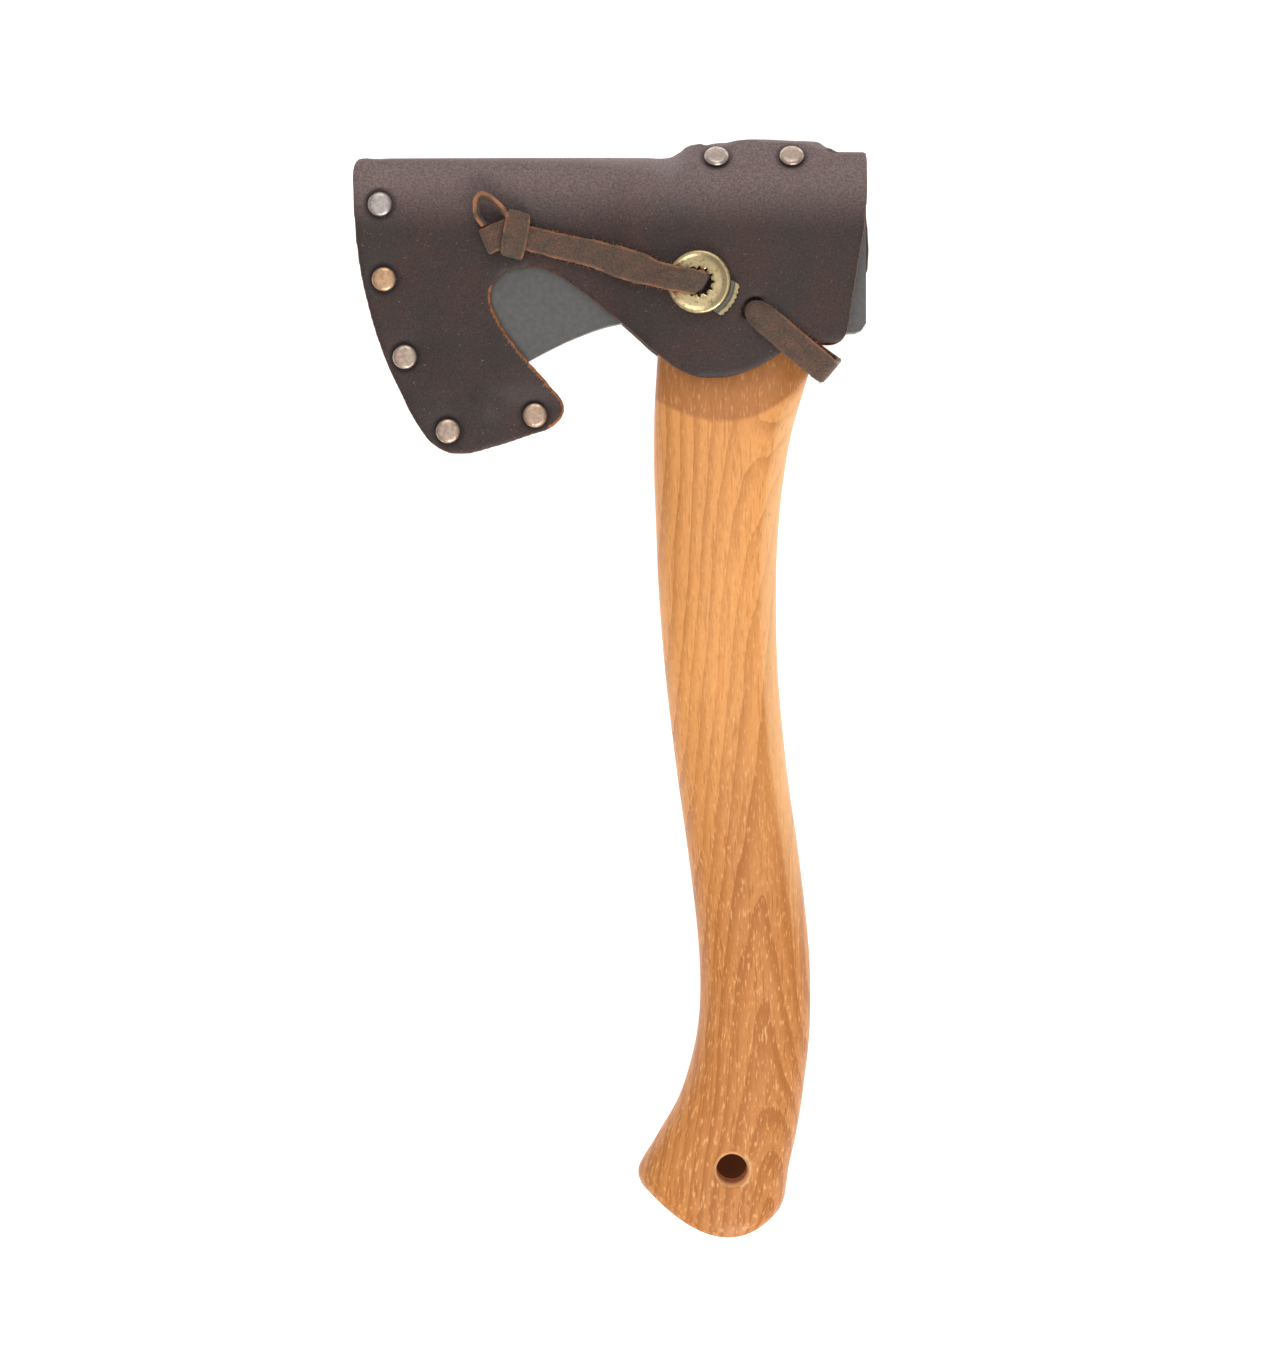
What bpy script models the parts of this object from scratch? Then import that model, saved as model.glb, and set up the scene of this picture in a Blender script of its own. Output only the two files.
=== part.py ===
"""Forest hatchet in a riveted leather sheath with a thong and a brass push lock, lying on its side.

Run in Blender 4.5 as it is. Sizes are in millimetres and MM turns them into Blender's metres. The working
frame has X from the eye towards the poll, Y up the handle from the underside of the eye, Z out of the front.
"""

import math

import bmesh
import bpy
from mathutils import Matrix, Vector

MM = 0.001
SEAT_GAP = 0.3

# Head
EDGE_X = -109.0
POLL_X = 41.9
EYE_HEIGHT = 46.5
TOE_RISE = 4.7
TOE_Y = EYE_HEIGHT + TOE_RISE
HEEL_SETBACK = 20.5
HEEL_X = EDGE_X + HEEL_SETBACK
HEEL_Y = -21.0
EYE_THICKNESS = 24.0
EYE_WALL = 3.8
EYE_WIDTH = EYE_THICKNESS - 2 * EYE_WALL
EYE_LENGTH = 41.0
POLL_TAPER = 1.4
POLL_THICKNESS = EYE_THICKNESS - POLL_TAPER
BIT_THICKNESS = 3.2
EDGE_LAND = 0.3
GRIND_SLOPE = 0.32
CHEEK_FRONT_X = EDGE_X + 5.0
CHEEK_REAR_X = -10.0

# Handle
GRIP_THICKNESS = 25.0
KNOB_THICKNESS = 26.5
KNOB_Y = -255.0
NECK_SHOULDER = 1.55
NECK_THICKNESS = EYE_WIDTH + 2 * NECK_SHOULDER
TENON_RISE = 1.2
LANYARD_X = -1.0
LANYARD_Y = KNOB_Y - 11.9
LANYARD_DIAMETER = 10.0
LANYARD_CHAMFER = 0.9
KERF_DEPTH = 31.0
WEDGE_THICKNESS = 4.4
STEEL_WEDGE = 2.6
STEEL_WEDGE_DEPTH = 13.0

# Thong
THONG_WIDTH = 9.2
THONG = 2.0
THONG_CLEARANCE = 0.4
THONG_ROOM = THONG + THONG_CLEARANCE
SLOT_X = 4.6
SLOT_Y = 8.9
SLOT_HALF = THONG + THONG_CLEARANCE
SLOT_BEND = THONG + 0.2
NECK_TURN_X = 29.6
NECK_TURN_Y = -12.2
TURN_RADIUS = 4.0
ANCHOR_FROM_TURN = 25.0

# Sheath leather
LEATHER = 2.6
WELT = 3.0
WELT_WIDTH = 7.4
HEAD_CLEARANCE = 0.5
FOLD_POWER = 2.0
EAR_POWER = 1.4
FOLD_END_X = -20.0
EAR_STEP = 4.0
EAR_START_X = FOLD_END_X + EAR_STEP
EAR_FULL_X = EAR_START_X + EAR_STEP
LAP_END_X = POLL_X - 17.4
EAR_END_X = LAP_END_X + 6.0
LAP_GAP = 1.2
FOLD_RISE = 2 * LEATHER + 0.2
RIDGE_Y = TOE_Y + 2 * LEATHER
LAP_RIDGE_Y = RIDGE_Y + 5.8
EAR_RIDGE_Y = LAP_RIDGE_Y + LEATHER + LAP_GAP
LOBE_LEAN = 0.045

# Rivets
CAP_DIAMETER = 8.0
CAP_HEIGHT = 1.3
SOCKET_RADIUS = 1.7
SOCKET_WALL = 0.5
BORE_RADIUS = SOCKET_RADIUS - SOCKET_WALL
PIN_RADIUS = BORE_RADIUS - SEAT_GAP
RIVET_STEPS = 16

# Lock
LOCK_X = -11.2
LOCK_Y = 16.6
LOCK_TILT = math.radians(7.0)
SLIDE_ANGLE = math.radians(-30.3)
LOCK_DIAMETER = 20.5
LOCK_CLEARANCE = 0.25
LOCK_HOLE = THONG_WIDTH + 0.6
LOCK_NECK_BORE = LOCK_HOLE / 2 + 0.4
LOCK_NECK_RADIUS = LOCK_NECK_BORE + 0.9
WASHER_RADIUS = LOCK_NECK_RADIUS + 2.4
WASHER = 0.7
LOCK_FLOOR = 0.7
LOCK_WALL = 0.8
CAP_WALL = 0.8
LOCK_RIM = 0.9
SLIDER = 1.0
SLIDER_WIDTH = LOCK_HOLE + 1.8
SLIDER_REACH = LOCK_DIAMETER / 2 + 2.45
SLIDER_TRAVEL = 1.3
THUMB = 1.0
KNURLS = 9
SPRING_WIRE = 0.7
SPRING_REACH = 4.6
TEETH = 7
TOOTH = 0.7

EDGE_RIVETS = [
    (EDGE_X - 4.6, TOE_Y - 9.3),
    (EDGE_X - 3.3, 17.9),
    (EDGE_X + 3.4, -7.0),
    (HEEL_X - 3.3, HEEL_Y - 9.7),
    (HEEL_X + 24.5, HEEL_Y - 4.6),
]
LAP_RIVETS = [(EAR_FULL_X + 6.1, EAR_RIDGE_Y - 9.4), (LAP_END_X - 6.4, EAR_RIDGE_Y - 9.2)]


def smooth(start, end, value):
    share = min(1.0, max(0.0, (value - start) / (end - start)))
    return share * share * (3.0 - 2.0 * share)


def between(points, value):
    """Straight-line reading of a short list of (place, size) pairs."""
    if value <= points[0][0]:
        return points[0][1]
    for (a, low), (b, high) in zip(points, points[1:]):
        if value <= b:
            return low + (high - low) * (value - a) / (b - a)
    return points[-1][1]


# Scene helpers


def clear_scene():
    for item in list(bpy.data.objects):
        bpy.data.objects.remove(item, do_unlink=True)
    for group in list(bpy.data.collections):
        bpy.data.collections.remove(group)


def collection(name):
    group = bpy.data.collections.new(name)
    bpy.context.scene.collection.children.link(group)
    return group


def material(name, colour, roughness, metallic=0.0):
    made = bpy.data.materials.new(name)
    made.use_nodes = True
    shader = made.node_tree.nodes["Principled BSDF"]
    shader.inputs["Base Color"].default_value = (*colour, 1.0)
    shader.inputs["Roughness"].default_value = roughness
    shader.inputs["Metallic"].default_value = metallic
    return made


def empty(name, parent=None, matrix=None):
    point = bpy.data.objects.new(name, None)
    point.empty_display_size = 10 * MM
    PARTS.objects.link(point)
    point.parent = parent
    if matrix is not None:
        point.matrix_local = matrix
    return point


def mesh_of(name, bm):
    """Mesh data from a bmesh drawn in millimetres."""
    bmesh.ops.remove_doubles(bm, verts=bm.verts, dist=0.002)
    bmesh.ops.recalc_face_normals(bm, faces=bm.faces)
    mesh = bpy.data.meshes.new(name)
    bmesh.ops.scale(bm, vec=(MM, MM, MM), verts=bm.verts)
    bm.to_mesh(mesh)
    bm.free()
    return mesh


def part(name, mesh, surface, parent):
    piece = bpy.data.objects.new(name, mesh)
    piece.data.name = name
    piece.data.materials.clear()
    piece.data.materials.append(surface)
    PARTS.objects.link(piece)
    piece.parent = parent
    return piece


def cutter(name, mesh, parent):
    tool = bpy.data.objects.new(name, mesh)
    CUTTERS.objects.link(tool)
    tool.parent = parent
    tool.hide_render = True
    tool.display_type = "WIRE"
    return tool


def combine(piece, tool, operation):
    change = piece.modifiers.new(tool.name, "BOOLEAN")
    change.object = tool
    change.operation = operation
    change.solver = "EXACT"


def solidify(piece, thickness):
    change = piece.modifiers.new("Thickness", "SOLIDIFY")
    change.thickness = thickness * MM
    change.offset = -1.0
    change.use_even_offset = True


# Shape helpers


def curve_points(points, closed, steps):
    """Smooth run through points, as an auto-handled Bezier. A point with a third value is a corner."""
    shape = bpy.data.curves.new("outline", "CURVE")
    shape.dimensions = "3D"
    shape.resolution_u = steps
    spline = shape.splines.new("BEZIER")
    spline.bezier_points.add(len(points) - 1)
    spline.use_cyclic_u = closed
    for knot, point in zip(spline.bezier_points, points):
        knot.co = (point[0], point[1], 0.0)
        style = "VECTOR" if len(point) > 2 else "AUTO"
        knot.handle_left_type = style
        knot.handle_right_type = style
    holder = bpy.data.objects.new("outline", shape)
    bpy.context.scene.collection.objects.link(holder)
    bpy.context.view_layer.update()
    mesh = bpy.data.meshes.new_from_object(holder.evaluated_get(bpy.context.evaluated_depsgraph_get()))
    run = [vertex.co.copy() for vertex in mesh.vertices]
    bpy.data.objects.remove(holder, do_unlink=True)
    bpy.data.curves.remove(shape)
    bpy.data.meshes.remove(mesh)
    return run


def prism(outline, low, high):
    """Solid between two heights, with the outline as its plan."""
    bm = bmesh.new()
    face = bm.faces.new([bm.verts.new((p[0], p[1], low)) for p in outline])
    raised = bmesh.ops.extrude_face_region(bm, geom=[face])
    top = [item for item in raised["geom"] if isinstance(item, bmesh.types.BMVert)]
    bmesh.ops.translate(bm, verts=top, vec=(0.0, 0.0, high - low))
    return bm


def slice_grid(bm, axis, start, end, step):
    """Cut every face with evenly spaced planes, so that the plan can be given a height."""
    place = start
    normal = Vector((0.0, 0.0, 0.0))
    normal[axis] = 1.0
    while place < end:
        bmesh.ops.bisect_plane(
            bm,
            geom=bm.verts[:] + bm.edges[:] + bm.faces[:],
            plane_co=normal * place,
            plane_no=normal,
        )
        place += step


def cylinder(radius, low, high, steps):
    bm = bmesh.new()
    bmesh.ops.create_cone(
        bm,
        cap_ends=True,
        segments=steps,
        radius1=radius,
        radius2=radius,
        depth=high - low,
        matrix=Matrix.Translation((0.0, 0.0, (low + high) / 2)),
    )
    return bm


def block(low, high):
    bm = bmesh.new()
    size = [b - a for a, b in zip(low, high)]
    middle = [(a + b) / 2 for a, b in zip(low, high)]
    bmesh.ops.create_cube(bm, size=1.0, matrix=Matrix.LocRotScale(middle, None, size))
    return bm


def turned(profile, steps):
    """Profile of (radius, height) pairs, top to bottom down the outside, spun about Z."""
    bm = bmesh.new()
    run = [bm.verts.new((radius, 0.0, height)) for radius, height in profile]
    edges = [bm.edges.new(pair) for pair in zip(run, run[1:])]
    bmesh.ops.spin(
        bm,
        geom=run + edges,
        axis=(0.0, 0.0, 1.0),
        cent=(0.0, 0.0, 0.0),
        angle=2 * math.pi,
        steps=steps,
        use_merge=True,
    )
    bmesh.ops.remove_doubles(bm, verts=bm.verts, dist=0.002)
    return bm


def oval(power, steps):
    """Closed superellipse of half-size one, as (across, up) pairs."""
    ring = []
    for step in range(steps):
        angle = 2 * math.pi * step / steps
        across = math.copysign(abs(math.cos(angle)) ** (2 / power), math.cos(angle))
        up = math.copysign(abs(math.sin(angle)) ** (2 / power), math.sin(angle))
        ring.append((across, up))
    return ring


def loft(rings, far_cap=True):
    """Skin over rings of equal length. A last ring that is pressed flat closes itself and takes no cap."""
    bm = bmesh.new()
    loops = [[bm.verts.new(point) for point in ring] for ring in rings]
    for first, second in zip(loops, loops[1:]):
        count = len(first)
        for index in range(count):
            following = (index + 1) % count
            bm.faces.new((first[index], first[following], second[following], second[index]))
    bm.faces.new(loops[0])
    if far_cap:
        bm.faces.new(loops[-1])
    return bm


def ribbon(path, headings, width, thickness):
    """Flat strip along a path. Each heading is the plan direction that the strip's width is square to."""
    rings = []
    for index, (point, heading) in enumerate(zip(path, headings)):
        before = path[max(0, index - 1)]
        after = path[min(len(path) - 1, index + 1)]
        along = (after - before).normalized()
        side = Vector((-math.sin(heading), math.cos(heading), 0.0))
        side = (side - along * side.dot(along)).normalized()
        up = along.cross(side)
        half = side * (width / 2)
        rise = up * (thickness / 2)
        rings.append([point + half + rise, point - half + rise, point - half - rise, point + half - rise])
    return loft(rings)


def rounded_path(corners, steps):
    """Straight runs through (point, bend radius) pairs, with every inner corner turned as an arc."""
    path = [corners[0][0]]
    for (before, _), (corner, bend), (after, _) in zip(corners, corners[1:], corners[2:]):
        inward = (corner - before).normalized()
        outward = (after - corner).normalized()
        turn = inward.angle(outward)
        reach = bend * math.tan(turn / 2)
        reach = min(reach, 0.48 * (corner - before).length, 0.48 * (after - corner).length)
        start = corner - inward * reach
        end = corner + outward * reach
        for step in range(steps + 1):
            share = step / steps
            path.append(start.lerp(corner, share).lerp(corner.lerp(end, share), share))
    path.append(corners[-1][0])
    return path


# Head


def head_top(x):
    return between([(EDGE_X, TOE_Y), (-25.0, EYE_HEIGHT + 0.4), (POLL_X, EYE_HEIGHT - 0.8)], x)


def cheek(x):
    """Half the head's thickness away from the ground edge."""
    eye = EYE_THICKNESS / 2
    if x > CHEEK_REAR_X:
        return eye - (eye - POLL_THICKNESS / 2) * smooth(EYE_LENGTH / 2, POLL_X, x)
    share = max(0.0, (x - CHEEK_FRONT_X) / (CHEEK_REAR_X - CHEEK_FRONT_X))
    return BIT_THICKNESS / 2 + (eye - BIT_THICKNESS / 2) * share**1.25


EDGE_CURVE = [
    (HEEL_Y, HEEL_X),
    (HEEL_Y + 6.0, HEEL_X - 6.4),
    (HEEL_Y + 17.0, HEEL_X - 12.6),
    (18.0, EDGE_X + 1.3),
    (TOE_Y - 13.2, EDGE_X),
    (TOE_Y, EDGE_X + 0.4),
]

UNDERSIDE = [
    (HEEL_X, HEEL_Y),
    (-63.0, -6.7),
    (-49.0, -0.1),
    (-EYE_LENGTH / 2 - 16.0, 3.7),
    (-EYE_LENGTH / 2 - 9.5, 4.0),
    (-EYE_LENGTH / 2 - 2.5, 0.2),
]


def head_half(x, y):
    return min(cheek(x), EDGE_LAND / 2 + GRIND_SLOPE * max(0.0, x - between(EDGE_CURVE, y)))


def passing_half(x, y):
    """Half the thickness of all of the head that passes a place as the sheath is drawn off forwards."""
    if y < HEEL_Y:
        return 0.0
    beard = [(low, front) for front, low in UNDERSIDE[:4]]
    reach = between(beard, y) if y < beard[-1][0] else 0.0
    return head_half(min(x, reach), y)


def head_outline():
    edge = [(x, y) for y, x in EDGE_CURVE]
    edge[0] = (*edge[0], "corner")
    edge[-1] = (*edge[-1], "corner")
    rear = [
        (-25.0, head_top(-25.0), "corner"),
        (POLL_X - 1.5, head_top(POLL_X), "corner"),
        (POLL_X, head_top(POLL_X) - 1.5, "corner"),
        (POLL_X, 2.2, "corner"),
        (POLL_X - 2.0, 0.7, "corner"),
        (EYE_LENGTH / 2 + 1.5, 0.0, "corner"),
        (-EYE_LENGTH / 2 - 1.5, 0.0, "corner"),
    ]
    under = [(x, y) for x, y in reversed(UNDERSIDE[1:])]
    return curve_points(edge + rear + under, True, 3)


def eye_ring(shrink, y):
    half_long = EYE_LENGTH / 2 - shrink
    half_wide = EYE_WIDTH / 2 - shrink
    return [Vector((half_long * across, y, half_wide * up)) for across, up in oval(2.6, 28)]


def build_head(frame):
    bm = prism(head_outline(), -1.0, 1.0)
    slice_grid(bm, 0, CHEEK_FRONT_X, POLL_X, 7.5)
    slice_grid(bm, 1, HEEL_Y + 1.0, EYE_HEIGHT, 9.0)
    for vertex in bm.verts:
        vertex.co.z *= head_half(vertex.co.x, vertex.co.y)
    head = part("axe_head", mesh_of("axe_head", bm), STEEL, frame)
    eye = loft([eye_ring(0.0, -6.0), eye_ring(0.0, EYE_HEIGHT + 6.0)])
    combine(head, cutter("cut_eye", mesh_of("cut_eye", eye), frame), "DIFFERENCE")


# Handle. Each row is the front point, the rear point, how far the line between them bows down, and the
# thickness there.
GRIP_ROWS = [
    (-EYE_LENGTH / 2 - 3.9, -1.4, EYE_LENGTH / 2 + 5.5, -1.4, 0.0, NECK_THICKNESS),
    (-25.0, -11.3, 25.0, -7.7, 5.4, (NECK_THICKNESS + GRIP_THICKNESS) / 2),
    (-25.6, -21.2, 23.2, -14.0, 10.7, GRIP_THICKNESS),
    (-25.9, 0.1294 * KNOB_Y, 18.4, 0.12 * KNOB_Y, 7.0, GRIP_THICKNESS),
    (-25.8, 0.1804 * KNOB_Y, 15.8, 0.1765 * KNOB_Y, 3.0, GRIP_THICKNESS),
    (-25.2, 0.2431 * KNOB_Y, 14.0, 0.2431 * KNOB_Y, 0.0, GRIP_THICKNESS),
    (-24.5, 0.3137 * KNOB_Y, 13.3, 0.3137 * KNOB_Y, 0.0, GRIP_THICKNESS),
    (-22.4, 0.4196 * KNOB_Y, 13.8, 0.4196 * KNOB_Y, 0.0, GRIP_THICKNESS),
    (-18.8, 0.5412 * KNOB_Y, 16.6, 0.5412 * KNOB_Y, 0.0, GRIP_THICKNESS),
    (-14.6, 0.6608 * KNOB_Y, 20.8, 0.6608 * KNOB_Y, 0.0, GRIP_THICKNESS),
    (-11.4, 0.7765 * KNOB_Y, 23.9, 0.7765 * KNOB_Y, 0.0, GRIP_THICKNESS),
    (-11.8, 0.8667 * KNOB_Y, 24.1, 0.8667 * KNOB_Y, 0.0, GRIP_THICKNESS),
    (-17.0, KNOB_Y + 13.5, 22.2, KNOB_Y + 15.5, 2.0, KNOB_THICKNESS),
    (-24.6, KNOB_Y - 0.5, 20.1, KNOB_Y + 1.5, 5.0, KNOB_THICKNESS),
    (-30.2, KNOB_Y - 9.8, 17.4, KNOB_Y - 11.0, 10.0, KNOB_THICKNESS),
    (-30.9, KNOB_Y - 13.6, 16.3, KNOB_Y - 17.5, 13.5, KNOB_THICKNESS - 1.2),
    (-30.0, KNOB_Y - 16.3, 15.3, KNOB_Y - 20.8, 14.6, KNOB_THICKNESS - 4.5),
]
SHOULDER_LINE = GRIP_ROWS[2]


def neck_half(x, y):
    """Half the handle's thickness in the neck, which fills out down to the bowed shoulder line."""
    front_x, front_y, rear_x, rear_y, bow, thickness = SHOULDER_LINE
    share = min(1.0, max(0.0, (x - front_x) / (rear_x - front_x)))
    shoulder = front_y + (rear_y - front_y) * share - bow * 4 * share * (1 - share)
    fill = min(1.0, max(0.0, y / shoulder))
    return (NECK_THICKNESS + (thickness - NECK_THICKNESS) * fill) / 2


def spline_value(index, share, column):
    """Catmull-Rom reading of one column of the rows."""
    last = len(GRIP_ROWS) - 1
    p0, p1, p2, p3 = (GRIP_ROWS[min(last, max(0, index + shift))][column] for shift in (-1, 0, 1, 2))
    slope = p2 - p0
    square = 2 * p0 - 5 * p1 + 4 * p2 - p3
    cube = 3 * p1 - p0 - 3 * p2 + p3
    return p1 + 0.5 * share * (slope + share * (square + share * cube))


def grip_ring(front_x, front_y, rear_x, rear_y, bow, thickness, section):
    front = Vector((front_x, front_y, 0.0))
    rear = Vector((rear_x, rear_y, 0.0))
    down = Vector((0.17, -0.985, 0.0))
    ring = []
    for across, up in section:
        share = (across + 1) / 2
        point = front.lerp(rear, share) + down * (bow * 4 * share * (1 - share))
        ring.append(point + Vector((0.0, 0.0, up * thickness / 2)))
    return ring


def tenon_ring(y, section):
    half_long = EYE_LENGTH / 2 - SEAT_GAP
    half_wide = EYE_WIDTH / 2 - SEAT_GAP
    return [Vector((half_long * across, y, half_wide * up)) for across, up in section]


def handle_rings(section):
    rings = [tenon_ring(y, section) for y in (EYE_HEIGHT + TENON_RISE, EYE_HEIGHT / 2, -SEAT_GAP)]
    for index in range(len(GRIP_ROWS) - 1):
        for share in (0.0, 0.5):
            row = [spline_value(index, share, column) for column in range(5)]
            thickness = GRIP_ROWS[index][5] * (1 - share) + GRIP_ROWS[index + 1][5] * share
            rings.append(grip_ring(*row, thickness, section))
    *row, thickness = GRIP_ROWS[-1]
    for shrink in (1.0, 0.5, 0.0):
        rings.append(grip_ring(*row, thickness * shrink, section))
    return rings


def build_handle(frame):
    bm = loft(handle_rings(oval(2.35, 24)), far_cap=False)
    handle = part("handle", mesh_of("handle", bm), HICKORY, frame)

    radius = LANYARD_DIAMETER / 2
    reach = KNOB_THICKNESS
    bore = turned(
        [
            (0.0, reach),
            (radius + LANYARD_CHAMFER + reach / 2, reach),
            (radius + LANYARD_CHAMFER, KNOB_THICKNESS / 2),
            (radius, KNOB_THICKNESS / 2 - 1.4 * LANYARD_CHAMFER),
            (radius, 1.4 * LANYARD_CHAMFER - KNOB_THICKNESS / 2),
            (radius + LANYARD_CHAMFER, -KNOB_THICKNESS / 2),
            (radius + LANYARD_CHAMFER + reach / 2, -reach),
            (0.0, -reach),
        ],
        24,
    )
    bmesh.ops.translate(bore, verts=bore.verts, vec=(LANYARD_X, LANYARD_Y, 0.0))
    combine(handle, cutter("cut_lanyard_hole", mesh_of("cut_lanyard", bore), frame), "DIFFERENCE")

    kerf = wedge_solid(SEAT_GAP, 4.0)
    combine(handle, cutter("cut_kerf", mesh_of("cut_kerf", kerf), frame), "DIFFERENCE")
    cross = steel_wedge_solid(SEAT_GAP, 4.0)
    cross_tool = cutter("cut_cross_kerf", mesh_of("cut_cross", cross), frame)
    combine(handle, cross_tool, "DIFFERENCE")

    wedge = part("eye_wedge", mesh_of("eye_wedge", wedge_solid(0.0, 0.0)), WEDGE_WOOD, frame)
    combine(wedge, cross_tool, "DIFFERENCE")
    part("steel_wedge", mesh_of("steel_wedge", steel_wedge_solid(0.0, 0.0)), STEEL, frame)


def wedge_solid(gap, extra):
    """Wooden wedge that fills the kerf along the eye, thick at the top."""
    top = EYE_HEIGHT + TENON_RISE - 0.4 + extra
    foot = EYE_HEIGHT + TENON_RISE - KERF_DEPTH - gap
    half = WEDGE_THICKNESS / 2
    span = EYE_LENGTH / 2 - 2.2
    if extra:
        span = EYE_LENGTH / 2 + 2.0
    outline = [(-half - gap, top), (half + gap, top), (0.5 + gap, foot), (-0.5 - gap, foot)]
    bm = prism(outline, -span, span)
    turn = Matrix(((0, 0, 1, 0), (0, 1, 0, 0), (1, 0, 0, 0), (0, 0, 0, 1)))
    bmesh.ops.transform(bm, matrix=turn, verts=bm.verts)
    return bm


def steel_wedge_solid(gap, extra):
    """Flat steel wedge driven across the wooden one."""
    top = EYE_HEIGHT + TENON_RISE - 0.4 + extra
    foot = EYE_HEIGHT + TENON_RISE - STEEL_WEDGE_DEPTH - gap
    half = STEEL_WEDGE / 2
    outline = [(-half - gap, top), (half + gap, top), (0.4 + gap, foot), (-0.4 - gap, foot)]
    span = EYE_WIDTH / 2 - 2.4 + gap
    return prism(outline, -span, span)


# Sheath leather


def pinch(x, y):
    """How far the leather is drawn down by the rivets along the edge: none at nought, all at one."""
    drawn = 0.0
    for rivet_x, rivet_y in EDGE_RIVETS:
        away = math.hypot(x - rivet_x, y - rivet_y)
        drawn = max(drawn, 1.0 - smooth(CAP_DIAMETER / 2 + 3.0, CAP_DIAMETER + 5.0, away))
    return drawn


def panel_inside(x, y, side):
    """Height of a panel's inner face over the middle plane, below the fold."""
    flat = WELT / 2 + 0.2
    room = max(flat, cheek(min(x, 0.0)) + HEAD_CLEARANCE)
    if side > 0:
        room += THONG_ROOM * smooth(-46.0, -28.0, x)
    if x < -28.0:
        below = between(UNDERSIDE, x) - y
        room = flat + (room - flat) * (1.0 - smooth(5.0, 15.0, below))
    room -= LOBE_LEAN * (-min(-1.0, max(-16.0, y)) - 1.0) * smooth(-40.0, -24.0, x)
    room = flat + max(0.0, room - flat) * (1.0 - pinch(x, y))
    room = max(room, passing_half(x, y) + HEAD_CLEARANCE)
    if x > -28.0:
        room = max(room, neck_half(x, y) + HEAD_CLEARANCE)
    if side > 0:
        away = math.hypot(x - LOCK_X, y - LOCK_Y)
        seat = cheek(LOCK_X) + HEAD_CLEARANCE + THONG_ROOM + math.tan(LOCK_TILT) * (x - LOCK_X)
        room += (seat - room) * (1.0 - smooth(LOCK_DIAMETER / 2 + 1.0, LOCK_DIAMETER / 2 + 8.0, away))
    return room


def panel_outside(x, y, side):
    return panel_inside(x, y, side) + LEATHER


def eave(x):
    return min(head_top(x) + 0.6, fold_line(x) - FOLD_RISE)


def fold_line(x):
    nose = [(EDGE_X - 17.0, RIDGE_Y - 4.0), (EDGE_X - 11.0, RIDGE_Y - 1.8), (EDGE_X - 5.0, RIDGE_Y)]
    return between(nose, x)


def ridge(x, side):
    """Height of the fold, or of the ear in front and the under-lap behind."""
    if x <= FOLD_END_X:
        return fold_line(x) + 0.6 * smooth(FOLD_END_X - 7.0, FOLD_END_X, x)
    start = (FOLD_END_X, RIDGE_Y + 0.6)
    if side > 0:
        foot = (EAR_START_X, RIDGE_Y + 4.8)
        crest = [(EAR_FULL_X, EAR_RIDGE_Y - 1.0), (EAR_FULL_X + 14.0, EAR_RIDGE_Y)]
    else:
        foot = (EAR_START_X, RIDGE_Y + 1.0)
        crest = [(EAR_FULL_X, RIDGE_Y + 4.2), (EAR_FULL_X + 4.0, LAP_RIDGE_Y)]
    return between([start, foot] + crest, x)


def first_angle(x, side):
    """Angle from the ridge at which the front ear or the under-lap starts."""
    if side > 0:
        spots = [
            (FOLD_END_X, 0.0),
            (EAR_START_X, 22.0),
            (EAR_FULL_X, 33.0),
            (LAP_END_X, 34.0),
            (EAR_END_X, 46.0),
        ]
    else:
        spots = [
            (FOLD_END_X, 0.0),
            (EAR_START_X, -4.0),
            (EAR_FULL_X, -60.0),
            (LAP_END_X, -62.0),
            (LAP_END_X + 3.0, -30.0),
            (EAR_END_X, 20.0),
            (EAR_END_X + 3.0, 32.0),
        ]
    return math.radians(between(spots, x))


def rear_edge(y, side):
    if side > 0:
        spots = [(2.6, -5.6), (20.8, -2.7), (34.9, -0.3), (45.0, 0.4)]
    else:
        spots = [(2.6, -3.0), (22.0, 1.1), (28.0, 1.5), (42.0, 0.4)]
    return POLL_X + between(spots, y)


def fold_point(x, angle, side):
    """Outer face of the leather at an angle from the ridge. A negative angle is on the other side."""
    low = eave(x)
    rise = ridge(x, side) - low
    power = 2 / (FOLD_POWER + (EAR_POWER - FOLD_POWER) * smooth(-45.0, FOLD_END_X, x))
    if angle < 0:
        reach = panel_outside(x, low, -side) - LEATHER - LAP_GAP
        side = -side
    else:
        reach = panel_outside(x, low, side)
    up = math.cos(angle) ** power * rise
    out = math.sin(abs(angle)) ** power * reach
    return Vector((x, low + up, side * out))


FOLD_ROWS = 7
UPPER_ROWS = 11
LOWER_ROWS = 4
HEEL_LINE = HEEL_Y - 1.0
SHEATH_BOTTOM = HEEL_Y - 22.0


def spread(start, end, count):
    """Evenly spaced places from the start up to, but without, the end."""
    return [start + (end - start) * step / count for step in range(count)]


def sheath_columns():
    nose = spread(EDGE_X - 17.0, EDGE_X - 3.4, 4)
    blade = spread(EDGE_X - 3.4, FOLD_END_X, 14)
    ear = [FOLD_END_X, EAR_START_X] + spread(EAR_FULL_X, LAP_END_X, 6)
    rear = [LAP_END_X, LAP_END_X + 3.0, EAR_END_X, EAR_END_X + 3.0, POLL_X]
    return nose + blade + ear + rear


def panel_levels(x):
    upper = spread(eave(x), HEEL_LINE, UPPER_ROWS)
    lower = spread(HEEL_LINE, SHEATH_BOTTOM, LOWER_ROWS)
    return upper + lower + [SHEATH_BOTTOM]


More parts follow.
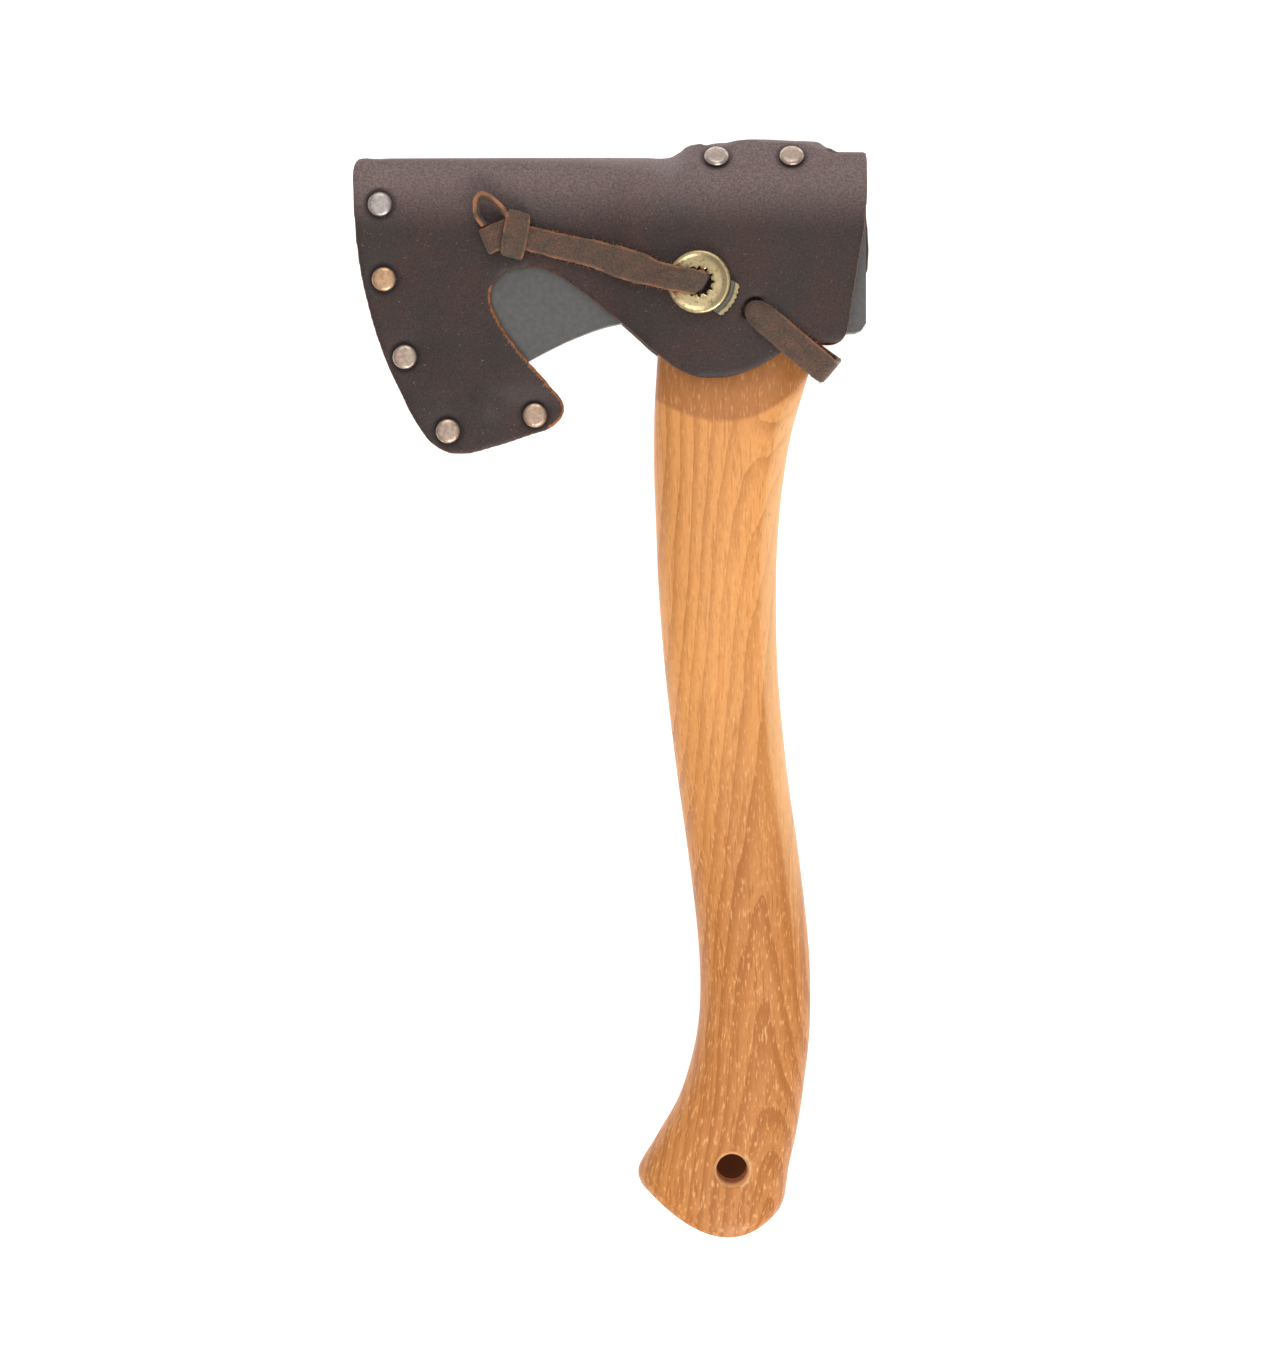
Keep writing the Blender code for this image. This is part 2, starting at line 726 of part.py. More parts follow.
def build_leather(frame):
    columns = sheath_columns()
    bm = bmesh.new()
    for side in (1.0, -1.0):
        lattice = []
        for x in columns:
            run = []
            start = first_angle(x, side)
            for row in range(FOLD_ROWS):
                angle = start + (math.pi / 2 - start) * row / FOLD_ROWS
                run.append(fold_point(x, angle, side))
            for y in panel_levels(x):
                run.append(Vector((x, y, side * panel_outside(x, y, side))))
            if x == columns[-1]:
                for point in run:
                    point.x = rear_edge(point.y, side)
            lattice.append([bm.verts.new(point) for point in run])
        for left, right in zip(lattice, lattice[1:]):
            for row in range(len(left) - 1):
                corners = (left[row], left[row + 1], right[row + 1], right[row])
                bm.faces.new(corners if side > 0 else corners[::-1])
    bmesh.ops.remove_doubles(bm, verts=bm.verts, dist=0.002)
    mesh = bpy.data.meshes.new("sheath_leather")
    bmesh.ops.scale(bm, vec=(MM, MM, MM), verts=bm.verts)
    bm.to_mesh(mesh)
    bm.free()
    leather = part("sheath_leather", mesh, LEATHER_SKIN, frame)
    solidify(leather, LEATHER)
    knife = prism(sheath_outline(), -60.0, 60.0)
    combine(leather, cutter("cut_sheath_outline", mesh_of("cut_outline", knife), frame), "INTERSECT")
    return leather


def sheath_outline():
    """Plan of both panels below the fold, seen from the front. Its top and rear lie outside the leather."""
    over = EAR_RIDGE_Y + 14.0
    top = [(POLL_X + 20.0, over, "corner"), (EDGE_X - 30.0, over, "corner")]
    left = [
        (EDGE_X - 30.0, RIDGE_Y + 5.6, "corner"),
        (EDGE_X - 11.6, RIDGE_Y - 0.8, "corner"),
        (EDGE_X - 13.1, RIDGE_Y - 3.4),
        (EDGE_X - 13.2, RIDGE_Y - 12.4),
        (EDGE_X - 12.0, 27.2),
        (EDGE_X - 9.1, 11.8),
        (EDGE_X - 4.6, -3.5),
    ]
    bottom = [
        (HEEL_X - 18.4, HEEL_Y + 2.1),
        (HEEL_X - 12.6, HEEL_Y - 8.7),
        (HEEL_X - 7.0, HEEL_Y - 14.9),
        (HEEL_X - 0.6, HEEL_Y - 17.1),
        (HEEL_X + 11.4, HEEL_Y - 14.8),
        (HEEL_X + 22.9, HEEL_Y - 11.0),
        (HEEL_X + 30.5, HEEL_Y - 8.1),
        (HEEL_X + 34.0, HEEL_Y - 2.3),
        (HEEL_X + 30.5, HEEL_Y + 3.1),
    ]
    notch = [
        (HEEL_X + 20.7, -6.7),
        (HEEL_X + 12.8, 4.8),
        (HEEL_X + 10.3, 12.6),
        (HEEL_X + 12.9, 18.4),
        (HEEL_X + 19.4, 21.2),
        (HEEL_X + 28.0, 20.8),
        (HEEL_X + 35.9, 16.4),
        (-36.5, 3.7),
        (-24.3, -7.0),
    ]
    lobe = [
        (-15.4, -12.8),
        (-6.0, -14.2),
        (4.8, -11.7),
        (13.1, -7.2),
        (19.4, -3.4),
        (26.0, -2.8),
        (32.4, -2.6),
        (36.0, 0.6),
        (37.4, 8.0),
        (POLL_X + 3.0, 24.0),
        (POLL_X + 20.0, 40.0, "corner"),
    ]
    return curve_points(top + left + bottom + notch + lobe, True, 4)


# Rivets


def cap_profile():
    """Low dome of a rivet cap, from its crown to its rim."""
    radius = CAP_DIAMETER / 2
    return [
        (0.0, SEAT_GAP + CAP_HEIGHT),
        (0.55 * radius, SEAT_GAP + 0.88 * CAP_HEIGHT),
        (0.9 * radius, SEAT_GAP + 0.5 * CAP_HEIGHT),
        (radius, SEAT_GAP),
    ]


def rivet_profiles(stack):
    """Front cap with its socket, and back cap with its pin, each from its own outer face."""
    head = cap_profile()
    socket = 0.62 * stack
    front = head + [
        (SOCKET_RADIUS, SEAT_GAP),
        (SOCKET_RADIUS, -socket),
        (BORE_RADIUS, -socket),
        (BORE_RADIUS, 0.0),
        (0.0, 0.0),
    ]
    back = head + [(PIN_RADIUS, SEAT_GAP), (PIN_RADIUS, -0.8 * stack), (0.0, -0.8 * stack)]
    return front, back


def facing(origin, axis):
    """Frame whose Z runs along the axis."""
    return Matrix.Translation(origin) @ axis.to_track_quat("Z", "Y").to_matrix().to_4x4()


def build_rivet(name, outer, axis, stack, holders, frame):
    """Both halves of a rivet, and the hole for it in each of the pieces that it holds."""
    front, back = rivet_profiles(stack)
    for half, profile, origin, way in (
        ("cap", front, outer, axis),
        ("pin", back, outer - axis * stack, -axis),
    ):
        bm = turned(profile, RIVET_STEPS)
        bmesh.ops.transform(bm, matrix=facing(origin, way), verts=bm.verts)
        part(f"{name}_{half}", mesh_of(name, bm), NICKEL, frame)
    hole = cylinder(SOCKET_RADIUS + SEAT_GAP, -stack - 2.5, 2.5, 16)
    bmesh.ops.transform(hole, matrix=facing(outer, axis), verts=hole.verts)
    tool = cutter(f"cut_{name}", mesh_of("cut_rivet", hole), frame)
    for holder in holders:
        combine(holder, tool, "DIFFERENCE")


def build_seam(leather, frame):
    last_x, last_y = EDGE_RIVETS[-1]
    route = [(EDGE_X - 5.0, TOE_Y - 2.2)] + EDGE_RIVETS + [(last_x + 5.0, last_y - 0.4)]
    path = curve_points(route, False, 4)
    headings = []
    for index in range(len(path)):
        along = path[min(len(path) - 1, index + 1)] - path[max(0, index - 1)]
        headings.append(math.atan2(along.y, along.x))
    strip = ribbon(path, headings, WELT_WIDTH, WELT)
    welt = part("edge_welt", mesh_of("edge_welt", strip), WELT_LEATHER, frame)
    upright = Vector((0.0, 0.0, 1.0))
    for number, (x, y) in enumerate(EDGE_RIVETS, 1):
        height = panel_outside(x, y, 1.0)
        spot = Vector((x, y, height))
        build_rivet(f"edge_rivet_{number}", spot, upright, 2 * height, [leather, welt], frame)
    for number, (x, y) in enumerate(LAP_RIVETS, 1):
        angle = next(a / 200 for a in range(300) if fold_point(x, a / 200, 1.0).y < y)
        spot = fold_point(x, angle, 1.0)
        along = fold_point(x, angle + 0.1, 1.0) - fold_point(x, angle - 0.1, 1.0)
        axis = along.cross(Vector((1.0, 0.0, 0.0))).normalized()
        build_rivet(f"lap_rivet_{number}", spot, axis, 2 * LEATHER + LAP_GAP + 0.4, [leather], frame)


# Lock, drawn about its own centre on the leather, with X the way the slider comes out


def lock_matrix():
    out = Vector((-math.sin(LOCK_TILT), 0.0, math.cos(LOCK_TILT)))
    slide = Vector((math.cos(SLIDE_ANGLE), math.sin(SLIDE_ANGLE), 0.0))
    slide = (slide - out * slide.dot(out)).normalized()
    across = out.cross(slide)
    turn = Matrix((slide, across, out)).transposed().to_4x4()
    return Matrix.Translation((LOCK_X, LOCK_Y, panel_outside(LOCK_X, LOCK_Y, 1.0))) @ turn


def lock_heights():
    floor = SEAT_GAP
    slider = floor + LOCK_FLOOR + LOCK_CLEARANCE
    cap = slider + SLIDER + LOCK_CLEARANCE
    return floor, slider, cap


def metre_frame(matrix):
    return Matrix.Translation(matrix.translation * MM) @ matrix.to_3x3().to_4x4()


def build_lock(leather, frame):
    place = lock_matrix()
    lock = empty("lock_frame", frame, metre_frame(place))
    floor, slider, cap = lock_heights()
    radius = LOCK_DIAMETER / 2
    ring = radius - LOCK_RIM - SEAT_GAP
    neck_foot = -LEATHER + 0.15

    base = turned(
        [
            (ring, cap - LOCK_CLEARANCE),
            (ring, floor),
            (LOCK_NECK_RADIUS, floor),
            (LOCK_NECK_RADIUS, neck_foot),
            (LOCK_NECK_BORE, neck_foot),
            (LOCK_NECK_BORE, floor + LOCK_FLOOR),
            (ring - LOCK_WALL, floor + LOCK_FLOOR),
            (ring - LOCK_WALL, cap - LOCK_CLEARANCE),
            (ring, cap - LOCK_CLEARANCE),
        ],
        32,
    )
    lock_base = part("lock_base", mesh_of("lock_base", base), BRASS, lock)
    half = SLIDER_WIDTH / 2 + LOCK_CLEARANCE
    gate = block((3.0, -half, floor + LOCK_FLOOR), (radius + 4.0, half, cap + 4.0))
    combine(lock_base, cutter("cut_lock_gate", mesh_of("cut_gate", gate), lock), "DIFFERENCE")

    top = cap + CAP_WALL
    hole = LOCK_HOLE / 2
    lid = turned(
        [
            (hole, top - 0.25),
            (hole + 0.6, top),
            (radius - 2.2, top),
            (radius - 1.3, top + 0.45),
            (radius - 0.4, top + 0.3),
            (radius, top - 0.5),
            (radius, floor + 0.1),
            (radius - LOCK_RIM, floor + 0.1),
            (radius - LOCK_RIM, cap),
            (hole, cap),
            (hole, top - 0.25),
        ],
        36,
    )
    lock_cap = part("lock_cap", mesh_of("lock_cap", lid), BRASS, lock)
    mouth = block((3.0, -half, floor - 2.0), (radius + 4.0, half, cap - 0.02))
    combine(lock_cap, cutter("cut_lock_mouth", mesh_of("cut_mouth", mouth), lock), "DIFFERENCE")
    for number in range(TEETH):
        angle = math.radians(22.0 * (number - (TEETH - 1) / 2))
        notch = cylinder(TOOTH, cap - 1.0, top + 1.0, 6)
        spot = (math.cos(angle) * hole, math.sin(angle) * hole, 0.0)
        bmesh.ops.translate(notch, verts=notch.verts, vec=spot)
        combine(lock_cap, cutter(f"cut_tooth_{number}", mesh_of("cut_tooth", notch), lock), "DIFFERENCE")

    rear = -ring + LOCK_WALL + SLIDER_TRAVEL + SPRING_WIRE + 2 * LOCK_CLEARANCE
    plate = block(
        (rear, -SLIDER_WIDTH / 2, slider),
        (SLIDER_REACH - THUMB / 2, SLIDER_WIDTH / 2, slider + SLIDER),
    )
    lock_slider = part("lock_slider", mesh_of("lock_slider", plate), BRASS, lock)
    round_off = cylinder(ring - LOCK_WALL - LOCK_CLEARANCE, slider - 1.0, slider + SLIDER + 1.0, 40)
    bmesh.ops.translate(round_off, verts=round_off.verts, vec=(SLIDER_TRAVEL, 0.0, 0.0))
    front_keep = block((0.0, -SLIDER_WIDTH, slider - 1.0), (30.0, SLIDER_WIDTH, slider + SLIDER + 1.0))
    rounding = cutter("cut_slider_plan", mesh_of("cut_plan", round_off), lock)
    combine(rounding, cutter("join_slider_front", mesh_of("join_front", front_keep), lock), "UNION")
    combine(lock_slider, rounding, "INTERSECT")
    window_front = THONG / 2 + SLIDER_TRAVEL + 0.5
    window = block(
        (-THONG / 2 - 0.4, -LOCK_HOLE / 2, slider - 1.0),
        (window_front, LOCK_HOLE / 2, slider + SLIDER + 1.0),
    )
    combine(lock_slider, cutter("cut_slider_window", mesh_of("cut_window", window), lock), "DIFFERENCE")
    thumb = block(
        (SLIDER_REACH - THUMB, -SLIDER_WIDTH / 2 + 0.05, slider + 0.02),
        (SLIDER_REACH, SLIDER_WIDTH / 2 - 0.05, slider + SLIDER + 1.0),
    )
    combine(lock_slider, cutter("join_thumb", mesh_of("join_thumb", thumb), lock), "UNION")
    for number in range(KNURLS):
        groove = cylinder(0.33, slider - 1.0, slider + SLIDER + 3.0, 6)
        across = (number - (KNURLS - 1) / 2) * SLIDER_WIDTH / (KNURLS + 0.6)
        bmesh.ops.translate(groove, verts=groove.verts, vec=(SLIDER_REACH, across, 0.0))
        combine(lock_slider, cutter(f"cut_knurl_{number}", mesh_of("cut_knurl", groove), lock), "DIFFERENCE")

    wall = ring - LOCK_WALL - SPRING_WIRE / 2 - 0.1
    back = -math.sqrt(wall * wall - SPRING_REACH * SPRING_REACH)
    bow = rear - SPRING_WIRE / 2 - 0.15 - back
    wire = bpy.data.curves.new("lock_spring", "CURVE")
    wire.dimensions = "3D"
    wire.bevel_depth = SPRING_WIRE / 2 * MM
    wire.bevel_resolution = 1
    wire.use_fill_caps = True
    spline = wire.splines.new("POLY")
    count = 9
    spline.points.add(count - 1)
    for index in range(count):
        across = (index / (count - 1) - 0.5) * 2 * SPRING_REACH
        reach = back + bow * math.cos(math.pi / 2 * across / SPRING_REACH)
        spline.points[index].co = (reach * MM, across * MM, (slider + SLIDER / 2) * MM, 1.0)
    holder = bpy.data.objects.new("spring_path", wire)
    bpy.context.scene.collection.objects.link(holder)
    bpy.context.view_layer.update()
    tube = bpy.data.meshes.new_from_object(holder.evaluated_get(bpy.context.evaluated_depsgraph_get()))
    bpy.data.objects.remove(holder, do_unlink=True)
    weld = bmesh.new()
    weld.from_mesh(tube)
    bmesh.ops.remove_doubles(weld, verts=weld.verts, dist=0.000002)
    weld.to_mesh(tube)
    weld.free()
    part("lock_spring", tube, STEEL, lock)

    ring_low = -LEATHER
    washer = turned(
        [
            (WASHER_RADIUS, ring_low + WASHER),
            (WASHER_RADIUS, ring_low),
            (LOCK_NECK_RADIUS + SEAT_GAP, ring_low),
            (LOCK_NECK_RADIUS + SEAT_GAP, ring_low + WASHER),
            (WASHER_RADIUS, ring_low + WASHER),
        ],
        28,
    )
    part("lock_washer", mesh_of("lock_washer", washer), BRASS, lock)
    passage = turned(
        [
            (0.0, 3.0),
            (LOCK_NECK_RADIUS + SEAT_GAP, 3.0),
            (LOCK_NECK_RADIUS + SEAT_GAP, ring_low + WASHER + SEAT_GAP),
            (WASHER_RADIUS + SEAT_GAP, ring_low + WASHER + SEAT_GAP),
            (WASHER_RADIUS + SEAT_GAP, ring_low - 3.0),
            (0.0, ring_low - 3.0),
        ],
        28,
    )
    combine(leather, cutter("cut_lock_passage", mesh_of("cut_passage", passage), lock), "DIFFERENCE")
    return place


# Thong


def neck_direction():
    return Vector((NECK_TURN_X - SLOT_X, NECK_TURN_Y - SLOT_Y, 0.0)).normalized()


def anchor_point():
    along = neck_direction()
    return Vector((NECK_TURN_X, NECK_TURN_Y, 0.0)) - along * ANCHOR_FROM_TURN


def build_thong(leather, place, frame):
    along = neck_direction()
    heading = math.atan2(along.y, along.x)
    slot = Vector((SLOT_X, SLOT_Y, 0.0))
    turn = Vector((NECK_TURN_X, NECK_TURN_Y, 0.0))
    entry = place @ Vector((0.0, 0.0, 0.9))
    under = place @ Vector((0.0, 0.0, -LEATHER - 0.5 - THONG / 2))
    lead = slot - Vector((under.x, under.y, 0.0))
    lead_heading = math.atan2(lead.y, lead.x)

    def outside(spot):
        return panel_outside(spot.x, spot.y, 1.0) + SEAT_GAP + THONG / 2 + 0.3

    def inside(spot):
        return panel_inside(spot.x, spot.y, 1.0) - 0.45 - THONG / 2

    def at(spot, height):
        return Vector((spot.x, spot.y, height))

    middle = under.lerp(at(slot, under.z), 0.5)
    front_height = outside(slot + along * 12.0)
    anchor = anchor_point()
    back = -panel_outside(anchor.x, anchor.y, -1.0) - SEAT_GAP - THONG / 2
    corners = [
        (entry, 0.0),
        (under, SLOT_BEND),
        (at(middle, inside(middle)), 20.0),
        (at(slot, inside(slot)), SLOT_BEND),
        (at(slot, outside(slot)), SLOT_BEND),
        (at(slot + along * 12.0, front_height), 30.0),
        (at(turn - along * 6.0, front_height - 0.6), 10.0),
        (at(turn, front_height - 1.6), TURN_RADIUS),
        (at(turn, back), TURN_RADIUS),
        (at(anchor - along * 6.0, back), 0.0),
    ]
    path = rounded_path(corners, 4)
    headings = []
    crossed = False
    for point in path:
        past = (Vector((point.x, point.y, 0.0)) - slot).dot(along)
        crossed = crossed or past > -1.0
        share = 1.0 if crossed else smooth(-16.0, -3.0, past)
        headings.append(lead_heading + (heading - lead_heading) * share)
    strip = ribbon(path, headings, THONG_WIDTH, THONG)
    loop = part("neck_thong", mesh_of("neck_thong", strip), STRAP_LEATHER, frame)

    half = THONG_WIDTH / 2 + 0.7
    mouth = block((-SLOT_HALF, -half, -8.0), (SLOT_HALF, half, 8.0))
    seat = Matrix.Translation((SLOT_X, SLOT_Y, panel_outside(SLOT_X, SLOT_Y, 1.0)))
    bmesh.ops.transform(mouth, matrix=seat @ Matrix.Rotation(heading, 4, "Z"), verts=mouth.verts)
    combine(leather, cutter("cut_thong_slot", mesh_of("cut_slot", mouth), frame), "DIFFERENCE")

    build_anchor(leather, loop, anchor, back, frame)
    build_tail(place, frame)


def build_anchor(leather, loop, anchor, back, frame):
    """Rivet through the thong and the back panel, with a thin inner head let into the leather."""
    outer = Vector((anchor.x, anchor.y, back - THONG / 2))
    inner = -panel_inside(anchor.x, anchor.y, -1.0)
    radius = CAP_DIAMETER / 2
    stack = inner - outer.z
    sunk = 0.9
    cap = turned(
        cap_profile()
        + [
            (SOCKET_RADIUS, SEAT_GAP),
            (SOCKET_RADIUS, -stack + sunk + SEAT_GAP),
            (BORE_RADIUS, -stack + sunk + SEAT_GAP),
            (BORE_RADIUS, 0.0),
            (0.0, 0.0),
        ],
        RIVET_STEPS,
    )
    turn = Matrix.Translation(outer) @ Matrix.Rotation(math.pi, 4, "X")
    bmesh.ops.transform(cap, matrix=turn, verts=cap.verts)
    part("thong_rivet_cap", mesh_of("thong_rivet_cap", cap), NICKEL, frame)
    pin = turned(
        [
            (0.0, -0.05),
            (radius - 0.6, -0.05),
            (radius - 0.6, -sunk + SEAT_GAP),
            (PIN_RADIUS, -sunk + SEAT_GAP),
            (PIN_RADIUS, 0.8 - stack),
            (0.0, 0.8 - stack),
        ],
        RIVET_STEPS,
    )
    bmesh.ops.translate(pin, verts=pin.verts, vec=(anchor.x, anchor.y, inner))
    part("thong_rivet_pin", mesh_of("thong_rivet_pin", pin), NICKEL, frame)
    hole = cylinder(SOCKET_RADIUS + SEAT_GAP, outer.z - 2.0, inner + 2.0, 16)
    bmesh.ops.translate(hole, verts=hole.verts, vec=(anchor.x, anchor.y, 0.0))
    tool = cutter("cut_thong_rivet", mesh_of("cut_thong_rivet", hole), frame)
    combine(leather, tool, "DIFFERENCE")
    combine(loop, tool, "DIFFERENCE")
    sink = cylinder(radius - 0.6 + SEAT_GAP, inner - sunk, inner + 1.6, 16)
    bmesh.ops.translate(sink, verts=sink.verts, vec=(anchor.x, anchor.y, 0.0))
    combine(leather, cutter("cut_thong_sink", mesh_of("cut_sink", sink), frame), "DIFFERENCE")


TAIL_PLAN = [
    (LOCK_X - LOCK_DIAMETER / 2 - 0.95, LOCK_Y + 1.6),
    (-28.2, 20.3),
    (-33.0, 21.8),
    (-42.9, 25.2),
    (-54.4, 27.9),
    (-64.2, 30.2),
]
KNOT_PLAN = (-70.2, 32.0)


def build_tail(place, frame):
    _, _, cap = lock_heights()
    start = place @ Vector((0.0, 0.0, 1.3))
    over = place @ Vector((0.0, 0.0, cap + CAP_WALL + 0.5 + THONG / 2 + 0.5))
    corners = [(start, 0.0), (over, SLOT_BEND)]
    for index, (x, y) in enumerate(TAIL_PLAN):
        lift = 0.8 if index else cap + CAP_WALL + 1.1
        corners.append((Vector((x, y, panel_outside(x, y, 1.0) + lift + THONG / 2)), 40.0))
    path = rounded_path(corners, 3)
    first = math.atan2(TAIL_PLAN[0][1] - start.y, TAIL_PLAN[0][0] - start.x)
    last = math.atan2(TAIL_PLAN[-1][1] - TAIL_PLAN[1][1], TAIL_PLAN[-1][0] - TAIL_PLAN[1][0])
    entry_heading = math.pi + SLIDE_ANGLE
    headings = []
    for point in path:
        turns = [(-44.0, last), (-18.0, first), (LOCK_X - 3.0, first), (LOCK_X, entry_heading)]
        headings.append(between(turns, point.x))
    tail = ribbon(path, headings, THONG_WIDTH, THONG)
    part("thong_tail", mesh_of("thong_tail", tail), STRAP_LEATHER, frame)

    heading = last
    x, y = KNOT_PLAN
    height = panel_outside(x, y, 1.0) + 0.5
    band = block((-4.2, -7.6, 0.0), (4.2, 7.6, 6.4))
    bmesh.ops.bevel(
        band, geom=band.edges[:], offset=1.6, segments=2, profile=0.5, affect="EDGES", material=-1
    )
    turn = Matrix.Translation((x, y, height)) @ Matrix.Rotation(heading - math.pi, 4, "Z")
    bmesh.ops.transform(band, matrix=turn, verts=band.verts)
    knot = part("thong_knot", mesh_of("thong_knot", band), STRAP_LEATHER, frame)
    lobe_plan = [(-81.6, 34.4), (-80.4, 35.4), (-72.0, 36.6), (-72.0, 27.6), (-77.6, 27.0)]
    lobe = prism(lobe_plan, height + 0.8, height + 3.0)
    combine(knot, cutter("join_lobe", mesh_of("join_lobe", lobe), frame), "UNION")
    loop_plan = [(-73.2, 38.6), (-76.6, 42.4), (-81.0, 45.0), (-83.0, 42.6), (-82.4, 38.4), (-79.4, 34.6)]
    lift = Vector((0.0, 0.0, height + 3.6))
    ring = [spot + lift for spot in curve_points(loop_plan, False, 3)]
    upright = ring_ribbon(ring, 5.6, 1.7)
    combine(knot, cutter("join_loop", mesh_of("join_loop", upright), frame), "UNION")


def ring_ribbon(path, width, thickness):
    """Strip standing on its edge along a level path."""
    rings = []
    for index, point in enumerate(path):
        before = path[max(0, index - 1)]
        after = path[min(len(path) - 1, index + 1)]
        along = (after - before).normalized()
        out = Vector((along.y, -along.x, 0.0)) * (thickness / 2)
        rise = Vector((0.0, 0.0, width / 2))
        rings.append([point + out + rise, point - out + rise, point - out - rise, point + out - rise])
    return loft(rings)


def settle(frame):
    """Move the whole part so that the origin is the middle of the foot of its box."""
    bpy.context.view_layer.update()
    graph = bpy.context.evaluated_depsgraph_get()
    low = Vector((1e9, 1e9, 1e9))
    high = -low
    for piece in PARTS.objects:
        if piece.type != "MESH":
            continue
        shape = piece.evaluated_get(graph)
        mesh = shape.to_mesh()
        for vertex in mesh.vertices:
            spot = piece.matrix_world @ vertex.co
            for axis in range(3):
                low[axis] = min(low[axis], spot[axis])
                high[axis] = max(high[axis], spot[axis])
        shape.to_mesh_clear()
    frame.location = (-(low.x + high.x) / 2, -(low.y + high.y) / 2, -low.z)


clear_scene()
PARTS = collection("hatchet")
CUTTERS = collection("cutters")
STEEL = material("forged_steel", (0.12, 0.12, 0.12), 0.5, 1.0)
HICKORY = material("hickory", (0.72, 0.35, 0.13), 0.5)
WEDGE_WOOD = material("wedge_wood", (0.6, 0.42, 0.24), 0.6)
LEATHER_SKIN = material("brown_leather", (0.075, 0.052, 0.046), 0.55)
WELT_LEATHER = material("welt_leather", (0.28, 0.13, 0.06), 0.7)
STRAP_LEATHER = material("strap_leather", (0.13, 0.08, 0.055), 0.7)
NICKEL = material("nickel_caps", (0.5, 0.45, 0.4), 0.35, 1.0)
BRASS = material("brass", (0.55, 0.47, 0.28), 0.35, 1.0)

HATCHET = empty("hatchet_frame")
SHEATH = empty("sheath_frame", HATCHET)
build_head(HATCHET)
build_handle(HATCHET)
SKIN = build_leather(SHEATH)
build_seam(SKIN, SHEATH)
LOCK_PLACE = build_lock(SKIN, SHEATH)
build_thong(SKIN, LOCK_PLACE, SHEATH)
settle(HATCHET)
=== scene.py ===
"""Looks for a forest hatchet in its riveted leather sheath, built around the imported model.

Laid out as an add-on and run as a script. Shapes are drawn in millimetres in the part's own working frame:
X from the eye towards the poll, Y up the handle from the underside of the eye, Z out of the sheath's front.
"""

import math
import random
from functools import partial

import bmesh
import bpy
from mathutils import Matrix, Vector, noise
from mathutils.bvhtree import BVHTree


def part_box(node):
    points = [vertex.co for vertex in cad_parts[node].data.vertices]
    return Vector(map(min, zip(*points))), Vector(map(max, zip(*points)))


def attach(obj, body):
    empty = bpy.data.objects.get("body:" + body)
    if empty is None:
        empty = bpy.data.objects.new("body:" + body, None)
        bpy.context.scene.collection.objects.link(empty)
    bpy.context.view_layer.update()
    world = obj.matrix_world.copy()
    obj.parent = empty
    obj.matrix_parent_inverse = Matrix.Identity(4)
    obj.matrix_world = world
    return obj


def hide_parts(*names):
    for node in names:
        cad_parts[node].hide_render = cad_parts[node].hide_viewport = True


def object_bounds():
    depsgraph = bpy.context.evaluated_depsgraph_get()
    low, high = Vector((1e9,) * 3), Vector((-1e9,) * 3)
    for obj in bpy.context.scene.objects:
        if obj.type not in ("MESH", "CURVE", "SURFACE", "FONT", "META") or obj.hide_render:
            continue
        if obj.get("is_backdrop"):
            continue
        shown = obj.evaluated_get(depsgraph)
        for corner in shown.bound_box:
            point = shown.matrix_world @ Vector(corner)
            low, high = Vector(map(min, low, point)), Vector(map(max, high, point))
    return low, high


bl_info = {
    "name": "Sheathed Hatchet",
    "version": (1, 0, 0),
    "blender": (4, 5, 0),
    "location": "3D View > Sidebar > Hatchet",
    "description": "Hickory, steel, leather and brass for a forest hatchet in its sheath",
    "category": "Object",
}

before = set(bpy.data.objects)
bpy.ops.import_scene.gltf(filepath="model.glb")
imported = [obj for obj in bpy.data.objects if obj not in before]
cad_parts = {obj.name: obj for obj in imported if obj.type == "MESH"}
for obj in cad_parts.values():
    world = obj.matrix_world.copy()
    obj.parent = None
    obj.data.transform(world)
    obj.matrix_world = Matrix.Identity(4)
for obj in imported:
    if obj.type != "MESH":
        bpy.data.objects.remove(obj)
CAD_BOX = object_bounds()
MM = 0.001

# The working frame's origin, from the head's own corners: how far its poll lies along X and its heel down Y
POLL, HEEL = 41.9, 21.0
HEAD_LOW, HEAD_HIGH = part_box("axe_head")
ORIGIN = Vector((HEAD_HIGH.x - POLL * MM, HEAD_LOW.y + HEEL * MM, (HEAD_LOW.z + HEAD_HIGH.z) / 2))
TO_FRAME = Matrix.Translation(ORIGIN) @ Matrix.Scale(MM, 4)
AS_IS = Matrix()

# Every rivet, and how much of its plating has worn off
RIVETS = {
    "edge_rivet_1": 0.0,
    "edge_rivet_2": 0.9,
    "edge_rivet_3": 0.35,
    "edge_rivet_4": 0.4,
    "edge_rivet_5": 0.55,
    "lap_rivet_1": 0.15,
    "lap_rivet_2": 0.3,
    "thong_rivet": 0.2,
}

LANYARD = Vector((-1.0, -266.9, 0.0))
SLOT = Vector((4.6, 8.9, 0.0))
# Middle of the circle that the cutting edge runs on, and the two radii between which the grinding starts
EDGE_MIDDLE = Vector((-23.7, 34.5, 0.0))
GRIND_RADII = (81.2, 81.8)
# Pith of the handle's wood: one point, its slope and its turn
PITH = Vector((6.8, -174.0, 1.0))
PITH_SLOPE = 0.07
PITH_TURN = math.radians(-1.2)
# Heights on the handle between which the wood deepens in colour, and between which its fibres spread
DEEPER_HEIGHTS = (-110.0, -190.0)
SPREAD_HEIGHTS = (-190.0, -290.0)


def linear(code):
    """Linear colour of an sRGB hex value."""
    channels = [int(code[start : start + 2], 16) / 255 for start in (1, 3, 5)]
    return [c / 12.92 if c <= 0.04045 else ((c + 0.055) / 1.055) ** 2.4 for c in channels]


